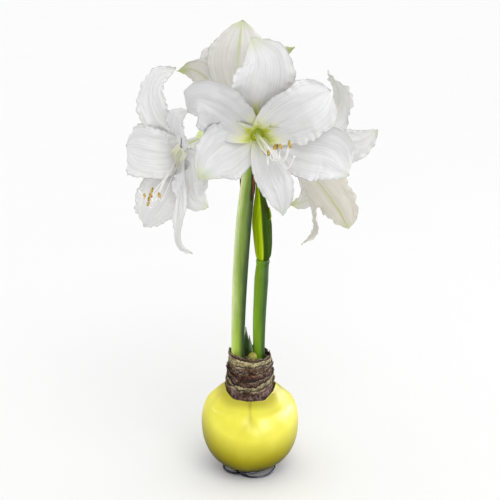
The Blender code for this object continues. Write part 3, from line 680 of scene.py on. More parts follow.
leaf_material, tree, shader = surface("young_leaf")
lines = speckle(tree, on_object(tree, (1.0, 1.0, 0.12)), 900.0, 2.0)
tone = coloured(tree, ranged(tree, lines, 0.35, 0.65), paint("1f3a12"), paint("3f6420"))
finished(tree, shader, tone, 0.4)
raised(tree, shader, lines, 0.3, 0.0002)
for name, (spine, half_width) in LEAVES.items():
    path = smooth_path(spine, LEAF_ROWS)
    share = np.linspace(0.0, 1.0, LEAF_ROWS)[:, None]
    across = np.linspace(-1.0, 1.0, LEAF_COLUMNS)
    width = half_width * (1.0 - 0.85 * smooth_step(share, 0.55, 1.0))
    sideways = across * width
    channel = 0.18 * width * across ** 2
    blunt_tip = 0.15 * width * (1.0 - across ** 2) * share ** 6
    grid = path[:, None, :] + np.stack([sideways, channel, blunt_tip], axis=2)
    points, faces, _, _, _ = slab(grid, LEAF_THICKNESS)
    leaf = make_piece("short_" + name, points, faces, {}, leaf_material)
    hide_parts(name)
    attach(leaf, "root")


# Flower stalk: the thick hollow stalk, round and faintly ribbed, with painted light that makes it
# pale on its left side and painted shade that makes it darker green on its right. The four short
# flower stems and ovaries grow from its top.
FLOWER_STALK = [
    ((-11.6, -4.0, 106.3), 6.2), ((-11.6, -4.0, 126.0), 6.2), ((-10.8, -3.5, 165.0), 6.8),
    ((-8.9, -2.0, 207.0), 7.2), ((-5.8, -1.0, 252.0), 7.2), ((-3.2, 0.0, 277.0), 6.8),
    ((-1.0, 1.0, 298.0), 6.3), ((0.0, 2.0, 312.0), 7.4), ((0.0, 2.6, 320.0), 6.0),
]
# The middle of each flower's throat, and the way that it faces
FLOWER_PLACES = {
    "front": ((5.0, -40.0, 344.5), (0.14, -0.98, -0.05)),
    "left": ((-54.0, -12.0, 327.0), (-0.72, -0.62, -0.30)),
    "back": ((-4.0, 24.0, 352.0), (-0.05, 0.62, 0.78)),
    "right": ((42.0, 18.0, 322.0), (0.80, 0.40, -0.45)),
}
TUBE_LENGTH = 9.0
# Where the four stems leave the stalk
STEMS_START = (0.0, 2.4, 313.0)
STALK_POINTS = 150
STALK_SIDES = 64
STEM_POINTS = 44
STEM_SIDES = 36


def stalk_shell(path, radii, sides, relief=None):
    """A closed round stalk along a path, with each point's share of the length and its turn."""
    ahead = np.gradient(path, axis=0)
    ahead /= np.linalg.norm(ahead, axis=1, keepdims=True)
    side = np.cross(ahead[0], (0.0, 1.0, 0.0) if abs(ahead[0][1]) < 0.9 else (1.0, 0.0, 0.0))
    turns = 2.0 * math.pi * np.arange(sides) / sides
    points = []
    for place, way, radius in zip(path, ahead, radii):
        side = side - side.dot(way) * way
        side /= np.linalg.norm(side)
        other = np.cross(way, side)
        ring = radius * np.ones(sides) if relief is None else radius * relief(turns, place)
        points += [place + r * (math.cos(t) * side + math.sin(t) * other) for t, r in zip(turns, ring)]
    rows = len(path)
    faces = []
    for row in range(rows - 1):
        for step in range(sides):
            beside = (step + 1) % sides
            faces.append((row * sides + step, row * sides + beside,
                          (row + 1) * sides + beside, (row + 1) * sides + step))
    low = len(points)
    points += [path[0], path[-1]]
    for step in range(sides):
        beside = (step + 1) % sides
        faces.append((low, beside, step))
        faces.append((low + 1, (rows - 1) * sides + step, (rows - 1) * sides + beside))
    along = np.concatenate([np.repeat(np.linspace(0.0, 1.0, rows), sides), [0.0, 1.0]])
    turn = np.concatenate([np.tile(turns, rows), [0.0, 0.0]])
    return np.array(points), faces, along, turn


def at_height(table, z):
    """Centre and radius of a stalk at a height."""
    heights = [point[2] for point, _ in table]
    centre = [np.interp(z, heights, [point[side] for point, _ in table]) for side in (0, 1)]
    return centre, np.interp(z, heights, [radius for _, radius in table])


def stalk_surface(name, pale, middle, deep, low_tint, low_z):
    """Green stalk skin: fine upright lines, painted light that makes it paler on its lit side, yellower at
    the foot.
    """
    made, tree, shader = surface(name)
    lines = speckle(tree, on_object(tree, (1.0, 1.0, 0.03)), 900.0, 3.0, 0.6)
    broad = speckle(tree, on_object(tree, (1.0, 1.0, 0.2)), 110.0, 3.0)
    uneven = ranged(tree, broad, 0.3, 0.7, -0.08, 0.08)
    lit = node(tree, "ShaderNodeMath", {0: own(tree, "lit"), 1: uneven}, operation="ADD").outputs[0]
    # Painted light and shade: pale green where the lit value is high, dark green where it is low
    tone = coloured(tree, ranged(tree, lit, 0.12, 0.5), deep, middle)
    tone = coloured(tree, ranged(tree, lit, 0.5, 0.9), tone, pale)
    dark = coloured(tree, 0.35, tone, deep)
    tone = coloured(tree, ranged(tree, lines, 0.62, 0.42, 0.0, 0.6), tone, dark)
    height = node(tree, "ShaderNodeSeparateXYZ", {"Vector": on_object(tree)}).outputs["Z"]
    low = product(tree, ranged(tree, height, low_z, low_z - 0.05, 0.0, 0.8), ranged(tree, lit, 0.1, 0.45))
    finished(tree, shader, coloured(tree, low, tone, low_tint), 0.5, 0.12)
    let_light_in(shader, 0.12, (0.5, 1.0, 0.2), 0.002)
    raised(tree, shader, lines, 0.2, 0.00015)
    return made


def painted_light_share(points, centres):
    """How far each point of an upright stalk is turned to the left, from 0 to 1, which sets its painted light
    and shade.
    """
    away = points - centres
    away[:, 2] = 0.0
    length = np.maximum(np.linalg.norm(away, axis=1), 1e-6)
    return 0.5 - 0.5 * (away[:, 0] * 0.97 - away[:, 1] * 0.2) / length


def stalk_ribs(turns, place):
    """Faint ribs and unevenness of the stalk."""
    ribs = 0.008 * np.sin(9.0 * turns + place[2] / 60.0)
    return 1.0 + ribs + 0.012 * np.sin(2.0 * turns + place[2] / 35.0)


def ovary_sides(turns, place):
    """The three soft sides of a stem and its ovary."""
    return 1.0 + 0.05 * np.cos(3.0 * turns)


stalk_material = stalk_surface("flower_stalk_skin", paint("eaf7b4"), paint("8fac46"), paint("2c4410"),
                               paint("b6d440"), 0.165)
path = smooth_path([point for point, _ in FLOWER_STALK], STALK_POINTS)
radii = np.array([at_height(FLOWER_STALK, z)[1] for z in path[:, 2]])
# The top of the stalk is rounded off
radii[-6:] *= np.sqrt(1.0 - np.linspace(0.0, 0.96, 6) ** 2)
points, faces, _, _ = stalk_shell(path, radii, STALK_SIDES, stalk_ribs)
centres = np.array([(*at_height(FLOWER_STALK, z)[0], z) for z in points[:, 2]])
stalk_parts = [(points, faces, {"lit": painted_light_share(points, centres)})]
for centre, axis in FLOWER_PLACES.values():
    axis = np.array(axis) / np.linalg.norm(axis)
    end = np.array(centre) - (TUBE_LENGTH + 0.2) * axis
    stem = smooth_path([STEMS_START, end - 15.0 * axis, end - 3.0 * axis, end], STEM_POINTS)
    # Each stem widens into its ovary and narrows again under the tube
    share = np.linspace(0.0, 1.0, STEM_POINTS)
    swell = 3.1 + 1.6 * smooth_step(share, 0.62, 0.8) * (1.0 - 0.75 * smooth_step(share, 0.86, 1.0))
    points, faces, along, turn = stalk_shell(stem, swell, STEM_SIDES, ovary_sides)
    stalk_parts.append((points, faces, {"lit": 0.75 + 0.1 * np.cos(3.0 * turn) + 0.25 * along}))
points, faces, values = gathered(stalk_parts)
flower_stalk = make_piece("hollow_flower_stalk", points, faces, values, stalk_material)
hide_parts("flower_stalk")
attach(flower_stalk, "root")


# Withered bracts: what is left of the sheath that the flowers opened from, two dry
# brown strips, curled along their length, that cling to the top of the stalk.

# The bracts are made wider than the dry strips and the front one hangs lower, so that its dark brown also
# stands as painted shade in the gap between the stalk and the bud
# Each bract: the way it faces round the stalk in degrees, and the heights of its top and its tip
BRACTS = {"withered_bract_front": (-46.0, 309.0, 274.0), "withered_bract_back": (140.0, 309.0, 284.0)}
BRACT_HALF_WIDTH = 3.1
BRACT_THICKNESS = 0.5
BRACT_ROWS = 60
BRACT_COLUMNS = 11

bract_material, tree, shader = surface("dry_bract")
fibres = speckle(tree, on_object(tree, (1.0, 1.0, 0.1)), 700.0, 4.0, 0.6)
tone = coloured(tree, ranged(tree, fibres, 0.35, 0.65), paint("160802"), paint("70401c"))
finished(tree, shader, tone, 0.75, 0.1)
raised(tree, shader, fibres, 0.7, 0.0003)
for name, (turn, top_z, low_z) in BRACTS.items():
    grid = np.zeros((BRACT_ROWS, BRACT_COLUMNS, 3))
    for row, share in enumerate(np.linspace(0.0, 1.0, BRACT_ROWS)):
        z = top_z + (low_z - top_z) * share
        centre, radius = at_height(FLOWER_STALK, z)
        half = BRACT_HALF_WIDTH * (1.0 - 0.75 * share ** 2) * (1.0 + 0.12 * math.sin(19.0 * share))
        for column, across in enumerate(np.linspace(-1.0, 1.0, BRACT_COLUMNS)):
            curl = 0.45 * across ** 2 * (0.5 + 0.5 * math.sin(9.0 * share))
            crumple = 0.25 * soft_noise(6.0 * share, across * 2.0, turn)
            away = radius + 0.9 + 0.8 * math.sin(math.pi * share) + curl + crumple
            angle = math.radians(turn) + across * half / away
            grid[row, column] = (centre[0] + away * math.cos(angle), centre[1] + away * math.sin(angle), z)
    points, faces, _, _, _ = slab(grid[::-1], BRACT_THICKNESS)
    bract = make_piece("dry_" + name, points, faces, {}, bract_material)
    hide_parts(name)
    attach(bract, "root")


# Bud stalk: the second stalk, which grew from the bulb beside the first. It is thinner
# and brighter green, and carries the closed bud on the small joint at its top.
BUD_STALK = [
    ((8.6, 1.5, 106.3), 5.6), ((8.6, 1.5, 126.0), 5.6), ((8.9, 2.0, 155.0), 6.2),
    ((10.7, 2.6, 195.0), 6.7), ((11.8, 3.0, 210.0), 6.0), ((12.0, 3.0, 212.8), 6.5),
    ((12.0, 3.0, 215.0), 6.2),
]
BUD_STALK_POINTS = 110
BUD_STALK_SIDES = 56

bud_stalk_material = stalk_surface("bud_stalk_skin", paint("a4cc3c"), paint("729c14"), paint("284a02"),
                                   paint("86b61a"), 0.155)
path = smooth_path([point for point, _ in BUD_STALK], BUD_STALK_POINTS)
radii = np.array([at_height(BUD_STALK, z)[1] for z in path[:, 2]])
points, faces, _, _ = stalk_shell(path, radii, BUD_STALK_SIDES, stalk_ribs)
centres = np.array([(*at_height(BUD_STALK, z)[0], z) for z in points[:, 2]])
values = {"lit": painted_light_share(points, centres)}
bud_stalk = make_piece("second_stalk", points, faces, values, bud_stalk_material)
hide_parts("bud_stalk")
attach(bud_stalk, "root")


# Bud sheath: the closed bud in its two green sheath leaves, which meet in an upright
# ridge in front and behind and have dried brown along the right edge near the tip.

# The bud from foot to tip: the middle of each ring, its height, and its radius
BUD = [
    (12.2, 3.0, 215.3, 5.6), (12.5, 3.2, 219.0, 7.2), (12.3, 3.8, 229.0, 8.4), (11.6, 4.8, 241.0, 9.0),
    (11.0, 5.2, 250.0, 9.1), (10.3, 5.0, 262.0, 7.7), (9.0, 4.2, 277.0, 4.4), (7.4, 2.0, 289.0, 1.9),
    (6.8, -0.6, 296.0, 0.8),
]
BUD_TIP_LENGTH = 0.8
BUD_LEVELS = 110
BUD_SIDES = 72
# The dried shred that has come away from the right edge
SHRED = [(17.6, 1.6, 266.0), (18.6, 0.4, 262.0), (19.2, 0.0, 257.5), (18.6, 0.4, 254.5), (17.9, 0.8, 254.0)]
SHRED_POINTS = 30


def along_edge(turns, middle, width):
    """1 along an upright edge of the bud, and softly down to 0 on both sides of it."""
    return bell(np.angle(np.exp(1j * (turns - middle))), width)


bud_material, tree, shader = surface("bud_sheath_skin")
lines = speckle(tree, on_object(tree, (1.0, 1.0, 0.04)), 800.0, 3.0, 0.6)
patches = speckle(tree, on_object(tree, (1.0, 1.0, 0.4)), 160.0, 3.0)
# Painted light and shade: bright yellow green on the side given as lit, dark green on the other side
tone = coloured(tree, ranged(tree, own(tree, "lit"), 0.42, 0.5), paint("2a4400"), paint("aed00c"))
tone = coloured(tree, own(tree, "ridge"), tone, paint("cfe02a"))
tone = coloured(tree, ranged(tree, lines, 0.6, 0.4, 0.0, 0.35), tone, paint("3c5a06"))
dry_share = product(tree, own(tree, "dry"), ranged(tree, patches, 0.35, 0.55))
finished(tree, shader, coloured(tree, dry_share, tone, paint("3a2008")), 0.5, 0.02)
raised(tree, shader, lines, 0.25, 0.0002)

middles_x, middles_y, heights, _ = np.array(BUD).T
knots = smooth_path([(radius, 0.0, z) for _, _, z, radius in BUD], 160)
turns = 2.0 * math.pi * np.arange(BUD_SIDES) / BUD_SIDES
crest = 1.0 + 0.16 * (np.abs(np.sin(turns)) ** 6 - 0.5 * np.abs(np.sin(2.0 * turns)))
levels = np.linspace(heights[0], heights[-1], BUD_LEVELS)
tip_z = heights[-1] + BUD_TIP_LENGTH
rings = []
for z in levels:
    width = np.interp(z, knots[:, 2], knots[:, 0])
    x = np.interp(z, heights, middles_x) + width * crest * np.cos(turns)
    y = np.interp(z, heights, middles_y) + 0.92 * width * crest * np.sin(turns)
    rings.append(np.stack([x, y, np.full(BUD_SIDES, z)], axis=1))
points, faces = round_rows([(0.0, levels[0])] + [(1.0, z) for z in levels] + [(0.0, tip_z)], BUD_SIDES)
points[:-2] = np.concatenate(rings)
points[-2] = (middles_x[0], middles_y[0], levels[0])
points[-1] = (middles_x[-1], middles_y[-1], tip_z)
turn_of = np.concatenate([np.tile(turns, BUD_LEVELS), [0.0, 0.0]])
front_ridge = along_edge(turn_of, -math.pi / 2 - 0.12, 0.10)
left_ridge = 0.8 * along_edge(turn_of, math.pi + 0.35, 0.3)
ridges = np.maximum(front_ridge, left_ridge)
# The lit value paints light on the bud's left side and shade on its right
bud_parts = [(points, faces, {
    "lit": 0.5 - 0.45 * np.cos(turn_of + 0.1),
    "ridge": ridges * (1.0 - 0.6 * smooth_step(points[:, 2], 262.0, 285.0)),
    "dry": along_edge(turn_of, -0.55, 0.45) * smooth_step(points[:, 2], 255.0, 266.0),
})]
shred_radii = 0.42 + 0.25 * np.sin(np.linspace(0.0, math.pi, SHRED_POINTS))
points, faces, _, _ = stalk_shell(smooth_path(SHRED, SHRED_POINTS), shred_radii, 12)
bud_parts.append((points, faces, {"lit": 0.5, "ridge": 0.0, "dry": 1.0}))
points, faces, values = gathered(bud_parts)
bud_sheath = make_piece("closed_bud", points, faces, values, bud_material)
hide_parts("bud_sheath")
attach(bud_sheath, "root")


# Flowers: each has six white tepals in two rings of three, grown together at the throat.
# Each is a thin, veined, soft blade with a ruffled edge, lime green deep in the throat,
# and the outer three have a green rib behind and a green tip.

# A tepal: ring, guide points of its spine, half width, place of its widest stretch, skew to its
# left edge, the way its inner face looks where that isn't straight to the flower's axis, the
# height of its edge waves, how pointed it is, and how cream-coloured and ribbed its back is.
TEPALS = {
    "front": [
        ("outer", [(4, -59, 368), (9, -76, 393), (11, -81, 413), (1, -76, 431)], 27, 0.62, -0.04,
         None, 1.0, 0.7, 0.50),
        ("inner", [(20, -62, 355), (40, -75, 368), (55, -75, 377), (67, -68, 386)], 26.6, 0.7, 0.0,
         None, 1.6, 0.0, 0.40),
        ("outer", [(22, -58, 341), (46, -66, 335), (68, -66, 330), (85, -56, 312)], 24.5, 0.66, 0.0,
         None, 1.2, 0.3, 0.40),
        ("inner", [(11, -60, 330), (18, -74, 315), (25, -78, 298), (28, -74, 280)], 15.5, 0.58, 0.06,
         None, 1.6, 0.8, 0.40),
        ("outer", [(-9, -59, 338), (-26, -71, 331), (-35, -76, 323), (-43, -78, 313)], 27, 0.58, -0.08,
         None, 1.0, 1.0, 0.50),
        ("inner", [(-12, -65, 357), (-29, -81, 372), (-43, -86, 379), (-51, -79, 370)], 23, 0.64, -0.1,
         (-0.4, -0.88, 0.28), 1.2, 0.3, 0.50),
    ],
    "left": [
        ("outer", [(-70, -38, 347), (-81, -45, 362), (-84, -43, 381), (-78, -36, 393), (-64, -26, 398)],
         15.2, 0.4, 0.0, (-0.42, -0.9, 0.1), 1.4, 0.3, 0.30),
        ("inner", [(-71, -36, 325), (-84, -42, 327), (-97, -38, 329), (-109, -24, 329)], 23.5, 0.72, 0.0,
         (0.2, -0.95, 0.1), 1.6, 0.0, 0.30),
        ("outer", [(-70, -34, 301), (-80, -38, 287), (-88, -36, 273), (-96, -26, 257)], 21, 0.52, 0.0,
         (0.1, -0.85, 0.5), 1.8, 0.2, 0.30),
        ("inner", [(-59, -48, 303), (-60, -60, 285), (-63, -64, 262), (-61, -60, 247), (-51, -52, 239)],
         6, 0.5, 0.0, (-0.6, -0.8, 0.0), 1.4, 0.2, 0.30),
        ("outer", [(-52, -40, 315), (-51, -52, 302), (-47, -58, 290), (-36, -58, 283)], 17.5, 0.62, 0.0,
         (-0.35, -0.9, 0.2), 1.8, 0.6, 0.40),
        ("inner", [(-61, -42, 341), (-63, -54, 355), (-61, -60, 364), (-52, -56, 368)], 11.5, 0.55, 0.0,
         (-0.55, -0.83, 0.1), 1.6, 0.3, 0.20),
    ],
    "back": [
        ("outer", [(-9, 18, 370), (-11, 10, 396), (-9, 10, 416), (-7, 20, 434)], 28.5, 0.58, 0.0,
         None, 0.8, 0.6, 0.50),
        ("inner", [(10, 30, 372), (18, 33, 391), (21, 38, 405), (18, 46, 415)], 20, 0.6, 0.0,
         None, 1.2, 0.3, 0.30),
        ("outer", [(17, 45, 366), (22, 56, 384), (28, 62, 397), (42, 62, 404)], 19, 0.6, 0.0,
         None, 1.0, 1.0, 0.60),
        ("inner", [(-4, 55, 365), (-5, 76, 370), (-6, 92, 368), (-7, 104, 356)], 17, 0.6, 0.0,
         None, 1.4, 0.3, 0.40),
        ("outer", [(-26, 30, 364), (-40, 36, 379), (-53, 38, 387), (-67, 36, 386)], 18, 0.58, 0.0,
         (0.1, 0.8, 0.5), 1.0, 1.0, 0.60),
        ("inner", [(-22, 28, 372), (-31, 28, 390), (-31, 31, 406), (-22, 38, 420)], 20, 0.6, 0.0,
         None, 1.2, 0.3, 0.30),
    ],
    "right": [
        ("outer", [(63, 30, 334), (80, 32, 349), (82, 32, 367), (71, 26, 388)], 23.5, 0.43, 0.0,
         None, 1.8, 0.5, 0.05),
        ("inner", [(66, 24, 320), (86, 20, 320), (101, 18, 324), (117, 18, 335)], 17.5, 0.56, 0.14,
         (0.25, 0.9, 0.2), 1.8, 0.6, 0.05),
        ("outer", [(55, 16, 298), (70, 8, 279), (82, 6, 262), (92, 12, 242)], 26, 0.6, 0.0,
         None, 1.2, 0.5, 1.00),
        ("inner", [(52, 26, 291), (58, 30, 262), (63, 32, 235), (49, 30, 221)], 7.5, 0.38, 0.0,
         None, 1.4, 0.6, 0.70),
        ("outer", [(52, 30, 298), (60, 42, 274), (53, 46, 260), (36, 42, 257)], 12, 0.6, 0.0,
         (0.0, 0.95, 0.2), 1.0, 0.9, 0.50),
        ("inner", [(60, 46, 330), (72, 66, 338), (80, 80, 344), (92, 90, 340)], 19, 0.6, 0.0,
         None, 1.6, 0.3, 0.30),
    ],
}
# Each flower: the length of its edge waves and how strongly it is ruffled, how far above the
# tepals' join the floor of its throat is, how lime green the throat is, how strongly its throat
# and its whole tepals glow with painted light, and what its unevenness starts from.
FLOWERS = {
    "front": {"waves": 8.0, "ruffle": 0.8, "floor": 5.0,
              "lime": 1.0, "glow": 0.4, "painted_veil": 0.0, "seed": 0.0},
    "left": {"waves": 7.0, "ruffle": 1.0, "floor": 10.5,
             "lime": 0.1, "glow": 1.0, "painted_veil": 0.13, "seed": 50.0},
    "back": {"waves": 9.0, "ruffle": 0.6, "floor": 5.0,
             "lime": 1.0, "glow": 0.4, "painted_veil": 0.05, "seed": 90.0},
    "right": {"waves": 8.0, "ruffle": 1.1, "floor": 5.0,
              "lime": 0.8, "glow": 0.4, "painted_veil": 0.14, "seed": 130.0},
}
# How far the white of each tepal of the front flower is greyed, as painted shade
FRONT_PAINTED_SHADES = (0.0, 0.05, 0.2, 0.3, 0.3, 0.55)
# The wall of a fused tube that shows between its tepals: how far it reaches, and where it is
TUBE_WALLS = {"left": (23.0, (-0.3, 0.95, 0.0))}
TUBE_SIDES = 40
TEPAL_ROWS = 108
TEPAL_COLUMNS = 47
TEPAL_THICKNESS = 0.55
LEAST_HALF_WIDTH = 0.35
# How strongly a tepal is rolled in at the throat and where it has opened
ROLLED = 1.0 / 9.0
OPENED = 0.014


def along_tepal(tree, over, stretch, detail, roughness=0.5):
    """Noise drawn out along the tepals into lines."""
    lined = node(tree, "ShaderNodeMapping", {"Vector": over, "Scale": stretch}).outputs["Vector"]
    return speckle(tree, lined, 1.0, detail, roughness)


petal_material, tree, shader = surface("white_petal")
over = node(tree, "ShaderNodeCombineXYZ", {
    "X": own(tree, "across"), "Y": own(tree, "along"), "Z": own(tree, "number"),
}).outputs["Vector"]
veins = along_tepal(tree, over, (24.0, 1.6, 3.0), 3.0, 0.55)
thin_veins_and_shade = along_tepal(tree, over, (70.0, 2.2, 3.0), 2.0)
cloud = speckle(tree, on_object(tree), 45.0, 3.0)
throat = product(tree, own(tree, "throat"), ranged(tree, thin_veins_and_shade, 0.36, 0.62, 0.6, 1.15))
# The grey streaks and fine grey lines stand partly for veins and partly for painted shade in fine folds
white = coloured(tree, ranged(tree, veins, 0.34, 0.56), paint("d5d5d6"), paint("e4e4e4"))
white = coloured(tree, ranged(tree, thin_veins_and_shade, 0.44, 0.34, 0.0, 0.35), white, paint("c0c0c2"))
white = coloured(tree, ranged(tree, cloud, 0.35, 0.7, 0.0, 0.25), white, paint("d2d2d4"))
# Painted shade: some tepals of the front flower are greyed to stand for the light they miss
white = coloured(tree, own(tree, "dim"), white, paint("c2c2c4"))
cream = coloured(tree, ranged(tree, veins, 0.34, 0.56), paint("d5cfc3"), paint("dedad0"))
tone = coloured(tree, own(tree, "cream"), white, cream)
tone = coloured(tree, ranged(tree, own(tree, "rim"), 0.0, 1.0, 0.0, 0.55), tone, paint("a3a39e"))
tone = coloured(tree, ranged(tree, throat, 0.0, 0.5), tone, paint("dde0a0"))
tone = coloured(tree, ranged(tree, throat, 0.4, 1.0), tone, paint("a9b40e"))
green = coloured(tree, ranged(tree, veins, 0.3, 0.7), paint("a3b450"), paint("c6d084"))
marked = node(tree, "ShaderNodeMath", {0: own(tree, "rib"), 1: own(tree, "tip")}, operation="MAXIMUM")
tone = coloured(tree, marked.outputs[0], tone, green)
finished(tree, shader, tone, 0.6, 0.25)
let_light_in(shader, 0.2, (1.0, 0.95, 0.85), 0.0012)
raised(tree, shader, along_tepal(tree, over, (34.0, 6.0, 3.0), 3.0), 0.55, 0.0005)
# Painted light: where the glow value is set, the petal gives off its own colour as light, in the throat and
# over some whole tepals
tree.links.new(tone, shader.inputs["Emission Color"])
tree.links.new(ranged(tree, own(tree, "glow"), 0.05, 1.0, 0.0, 0.4), shader.inputs["Emission Strength"])


def petal_values(**given):
    """The values that a petal's colour depends on, 0 where none is given."""
    names = ("throat", "across", "along", "number", "rib", "tip", "cream", "dim", "glow", "rim")
    return {name: given.get(name, 0.0) for name in names}


def noise_row(first, second, third):
    """Soft noise at a row of points, whose coordinates are given as numbers or rows of numbers."""
    return np.array([soft_noise(*spot) for spot in np.broadcast(first, second, third)])


def tepal_width(share, widest, pointed):
    """How wide a tepal is at a share of its length, 1 where it is widest."""
    if share < widest:
        return 0.2 + 0.8 * math.sin(0.5 * math.pi * share / widest) ** 1.1
    beyond = (share - widest) / (1.0 - widest)
    return max(0.0, 1.0 - beyond ** (2.1 - 0.4 * pointed)) ** (0.72 + 0.25 * pointed)


def tepal_lift(across, share, arc, broad, half_width, wave, length, ruffle, seed):
    """How far a row of a tepal stands out of its smooth form: waves, pleats, veins and ruffles."""
    edge = np.abs(across)
    open_share = smooth_step(share, 0.25, 0.6)
    calm = smooth_step(share, 0.14, 0.34) * (1.0 - 0.8 * smooth_step(share, 0.86, 1.0))
    # The edge: one slow wave, uneven swings, and fine ruffles
    lift = wave * open_share * edge ** 3 * np.sin(17.0 * share + 2.2 * across + half_width)
    lift += 2.6 * ruffle * open_share * edge ** 5 * noise_row(arc / length, 1.5 * across + seed, 1.0)
    sway = 3.5 * soft_noise(arc / 13.0, seed, 21.0)
    frill = np.sin(2.0 * math.pi * arc / length * 1.2 + seed + across + sway)
    lift += ruffle * open_share * edge ** 8 * frill
    # The blade: broad furrows, fine veins, and the middle vein pressed in
    furrows = np.cos(3.0 * math.pi * across + 1.5 * math.sin(seed)) * (1.0 - edge ** 4)
    lift += 0.6 * calm * broad * furrows
    lift += 0.08 * calm * np.cos(17.0 * across + 0.8 * math.sin(seed + 6.0 * share))
    lift -= 0.9 * calm * broad * bell(across, 0.08)
    # The soft unevenness of a thin living blade
    lift += open_share * broad * noise_row(1.7 * across + seed, arc / 16.0, 7.0)
    crinkle = noise_row(5.0 * across + seed, arc / 6.0, 11.0)
    pleat = noise_row(8.0 * across + seed, arc / 34.0, 15.0)
    lift += open_share * broad * (1.1 * ruffle * crinkle * (0.25 + 0.75 * edge) + 0.5 * pleat)
    return lift


def tepal_values(flower, number, tepal, upward, seed, along, across, back):
    """The colour values of a tepal's points. back is 1 on its back and 0 on its inner face."""
    ring, _, _, _, _, _, _, pointed, creamy = tepal
    streak = 0.16 + 0.06 * max(upward, 0.0) + 0.05 * bell(across, 0.16) + 0.02 * np.cos(9.0 * across)
    inner = (1.0 - smooth_step(along, streak - 0.12, streak + 0.26)) ** 1.8
    lime = inner * FLOWERS[flower]["lime"] * (0.8 + 0.5 * upward)
    outer = 0.75 * (1.0 - smooth_step(along, 0.03, 0.14))
    rib_strength = 0.35 + 0.6 * creamy if ring == "outer" else 0.1
    tip_strength = pointed if ring == "outer" else 0.4 * pointed
    fade = smooth_step(along, 0.05, 0.2) * (0.45 + 0.55 * smooth_step(along, 0.45, 0.9))
    tip = smooth_step(along, 0.96 - 0.16 * pointed, 0.995) * (1.0 - 0.4 * np.abs(across))
    return petal_values(
        throat=np.where(back < 0.5, lime, outer),
        across=across,
        along=along,
        number=number + seed,
        rib=back * rib_strength * fade * bell(across, 0.055),
        tip=tip_strength * tip * (0.6 + 0.4 * back),
        cream=creamy * back,
        dim=FRONT_PAINTED_SHADES[number] if flower == "front" else 0.0,
        glow=np.maximum(np.where(back < 0.5, FLOWERS[flower]["glow"] * inner, 0.0), FLOWERS[flower]["painted_veil"]),
        rim=np.maximum(smooth_step(np.abs(across), 0.94, 1.0), smooth_step(along, 0.985, 1.0)),
    )


def tepal_shell(flower, number, tepal):
    """One finely made tepal: points, faces and the values its colour depends on."""
    ring, guides, half_width, widest, skew, facing, wave, pointed, _ = tepal
    place, axis = FLOWER_PLACES[flower]
    place = np.array(place)
    axis = np.array(axis) / np.linalg.norm(axis)
    length = FLOWERS[flower]["waves"]
    ruffle = FLOWERS[flower]["ruffle"] * min(1.0, half_width / 15.0)
    seed = 7.3 * number + FLOWERS[flower]["seed"]
    out = np.array(guides[2], dtype=float) - place
    radial = out - out.dot(axis) * axis
    radial /= np.linalg.norm(radial)
    root = place - 2.5 * axis + 4.3 * radial
    throat_point = place + 11.0 * axis + (8.8 if ring == "outer" else 7.4) * radial
    path = smooth_path([root, throat_point] + list(guides), TEPAL_ROWS)
    run = np.linalg.norm(path[1] - path[0]) * (TEPAL_ROWS - 1)
    ahead = path[np.minimum(np.arange(TEPAL_ROWS) + 4, TEPAL_ROWS - 1)]
    behind = path[np.maximum(np.arange(TEPAL_ROWS) - 4, 0)]
    across = np.linspace(-1.0, 1.0, TEPAL_COLUMNS)
    grid = np.zeros((TEPAL_ROWS, TEPAL_COLUMNS, 3))
    for row, share in enumerate(np.linspace(0.0, 1.0, TEPAL_ROWS)):
        way = ahead[row] - behind[row]
        way /= np.linalg.norm(way)
        side = np.cross(axis, radial)
        if facing:
            turned = np.cross(np.array(facing), way)
            turned /= np.linalg.norm(turned)
            side = side + (turned - side) * smooth_step(share, 0.2, 0.5)
        side = side - side.dot(way) * way
        side /= np.linalg.norm(side)
        face = np.cross(way, side)
        width = max(tepal_width(share, widest, pointed) * half_width, LEAST_HALF_WIDTH)
        broad = width / half_width
        arc = share * run
        scallop = noise_row(arc / (0.9 * length), 2.0 * np.sign(across) + seed, 4.0)
        nick = noise_row(arc / 2.3, 3.0 * np.sign(across) + seed, 9.0)
        trim = smooth_step(share, 0.25, 0.6) * np.abs(across) ** 4 * (0.05 * scallop + 0.034 * nick)
        reach = width * across * (1.0 + skew * across) * (1.0 + trim * (1.0 + ruffle))
        hollow = ROLLED + (OPENED - ROLLED) * smooth_step(share, 0.08, 0.42)
        spread = np.sin(hollow * reach) / hollow
        lift = (1.0 - np.cos(hollow * reach)) / hollow
        lift += tepal_lift(across, share, arc, broad, half_width, wave, length, ruffle, seed)
        grid[row] = path[row] + spread[:, None] * side + lift[:, None] * face
    points, faces, along, across_of, side_of = slab(grid, TEPAL_THICKNESS)
    values = tepal_values(flower, number, tepal, radial[2], seed, along, across_of, 1.0 - side_of)
    return points, faces, values


def tube_shell(flower, place, axis):
    """The short closed tube that the tepals grow from, with the floor of the throat on its end."""
    floor = FLOWERS[flower]["floor"]
    run = np.linspace(0.0, 1.0, 16)
    path = place - TUBE_LENGTH * axis + run[:, None] * (TUBE_LENGTH + floor) * axis
    points, faces, along, turn = stalk_shell(path, 4.6 + 0.4 * floor * run ** 1.3, TUBE_SIDES)
    return points, faces, petal_values(
        throat=(0.45 - 0.25 * along + smooth_step(along, 0.9, 1.0)) * FLOWERS[flower]["lime"],
        across=np.cos(3.0 * turn),
        along=0.1 * along,
        number=9.0,
        rib=0.9 * np.maximum(0.0, np.cos(3.0 * turn)) ** 6 * (1.0 - smooth_step(along, 0.6, 0.8)),
        glow=FLOWERS[flower]["glow"] * smooth_step(along, 0.85, 1.0),
    )


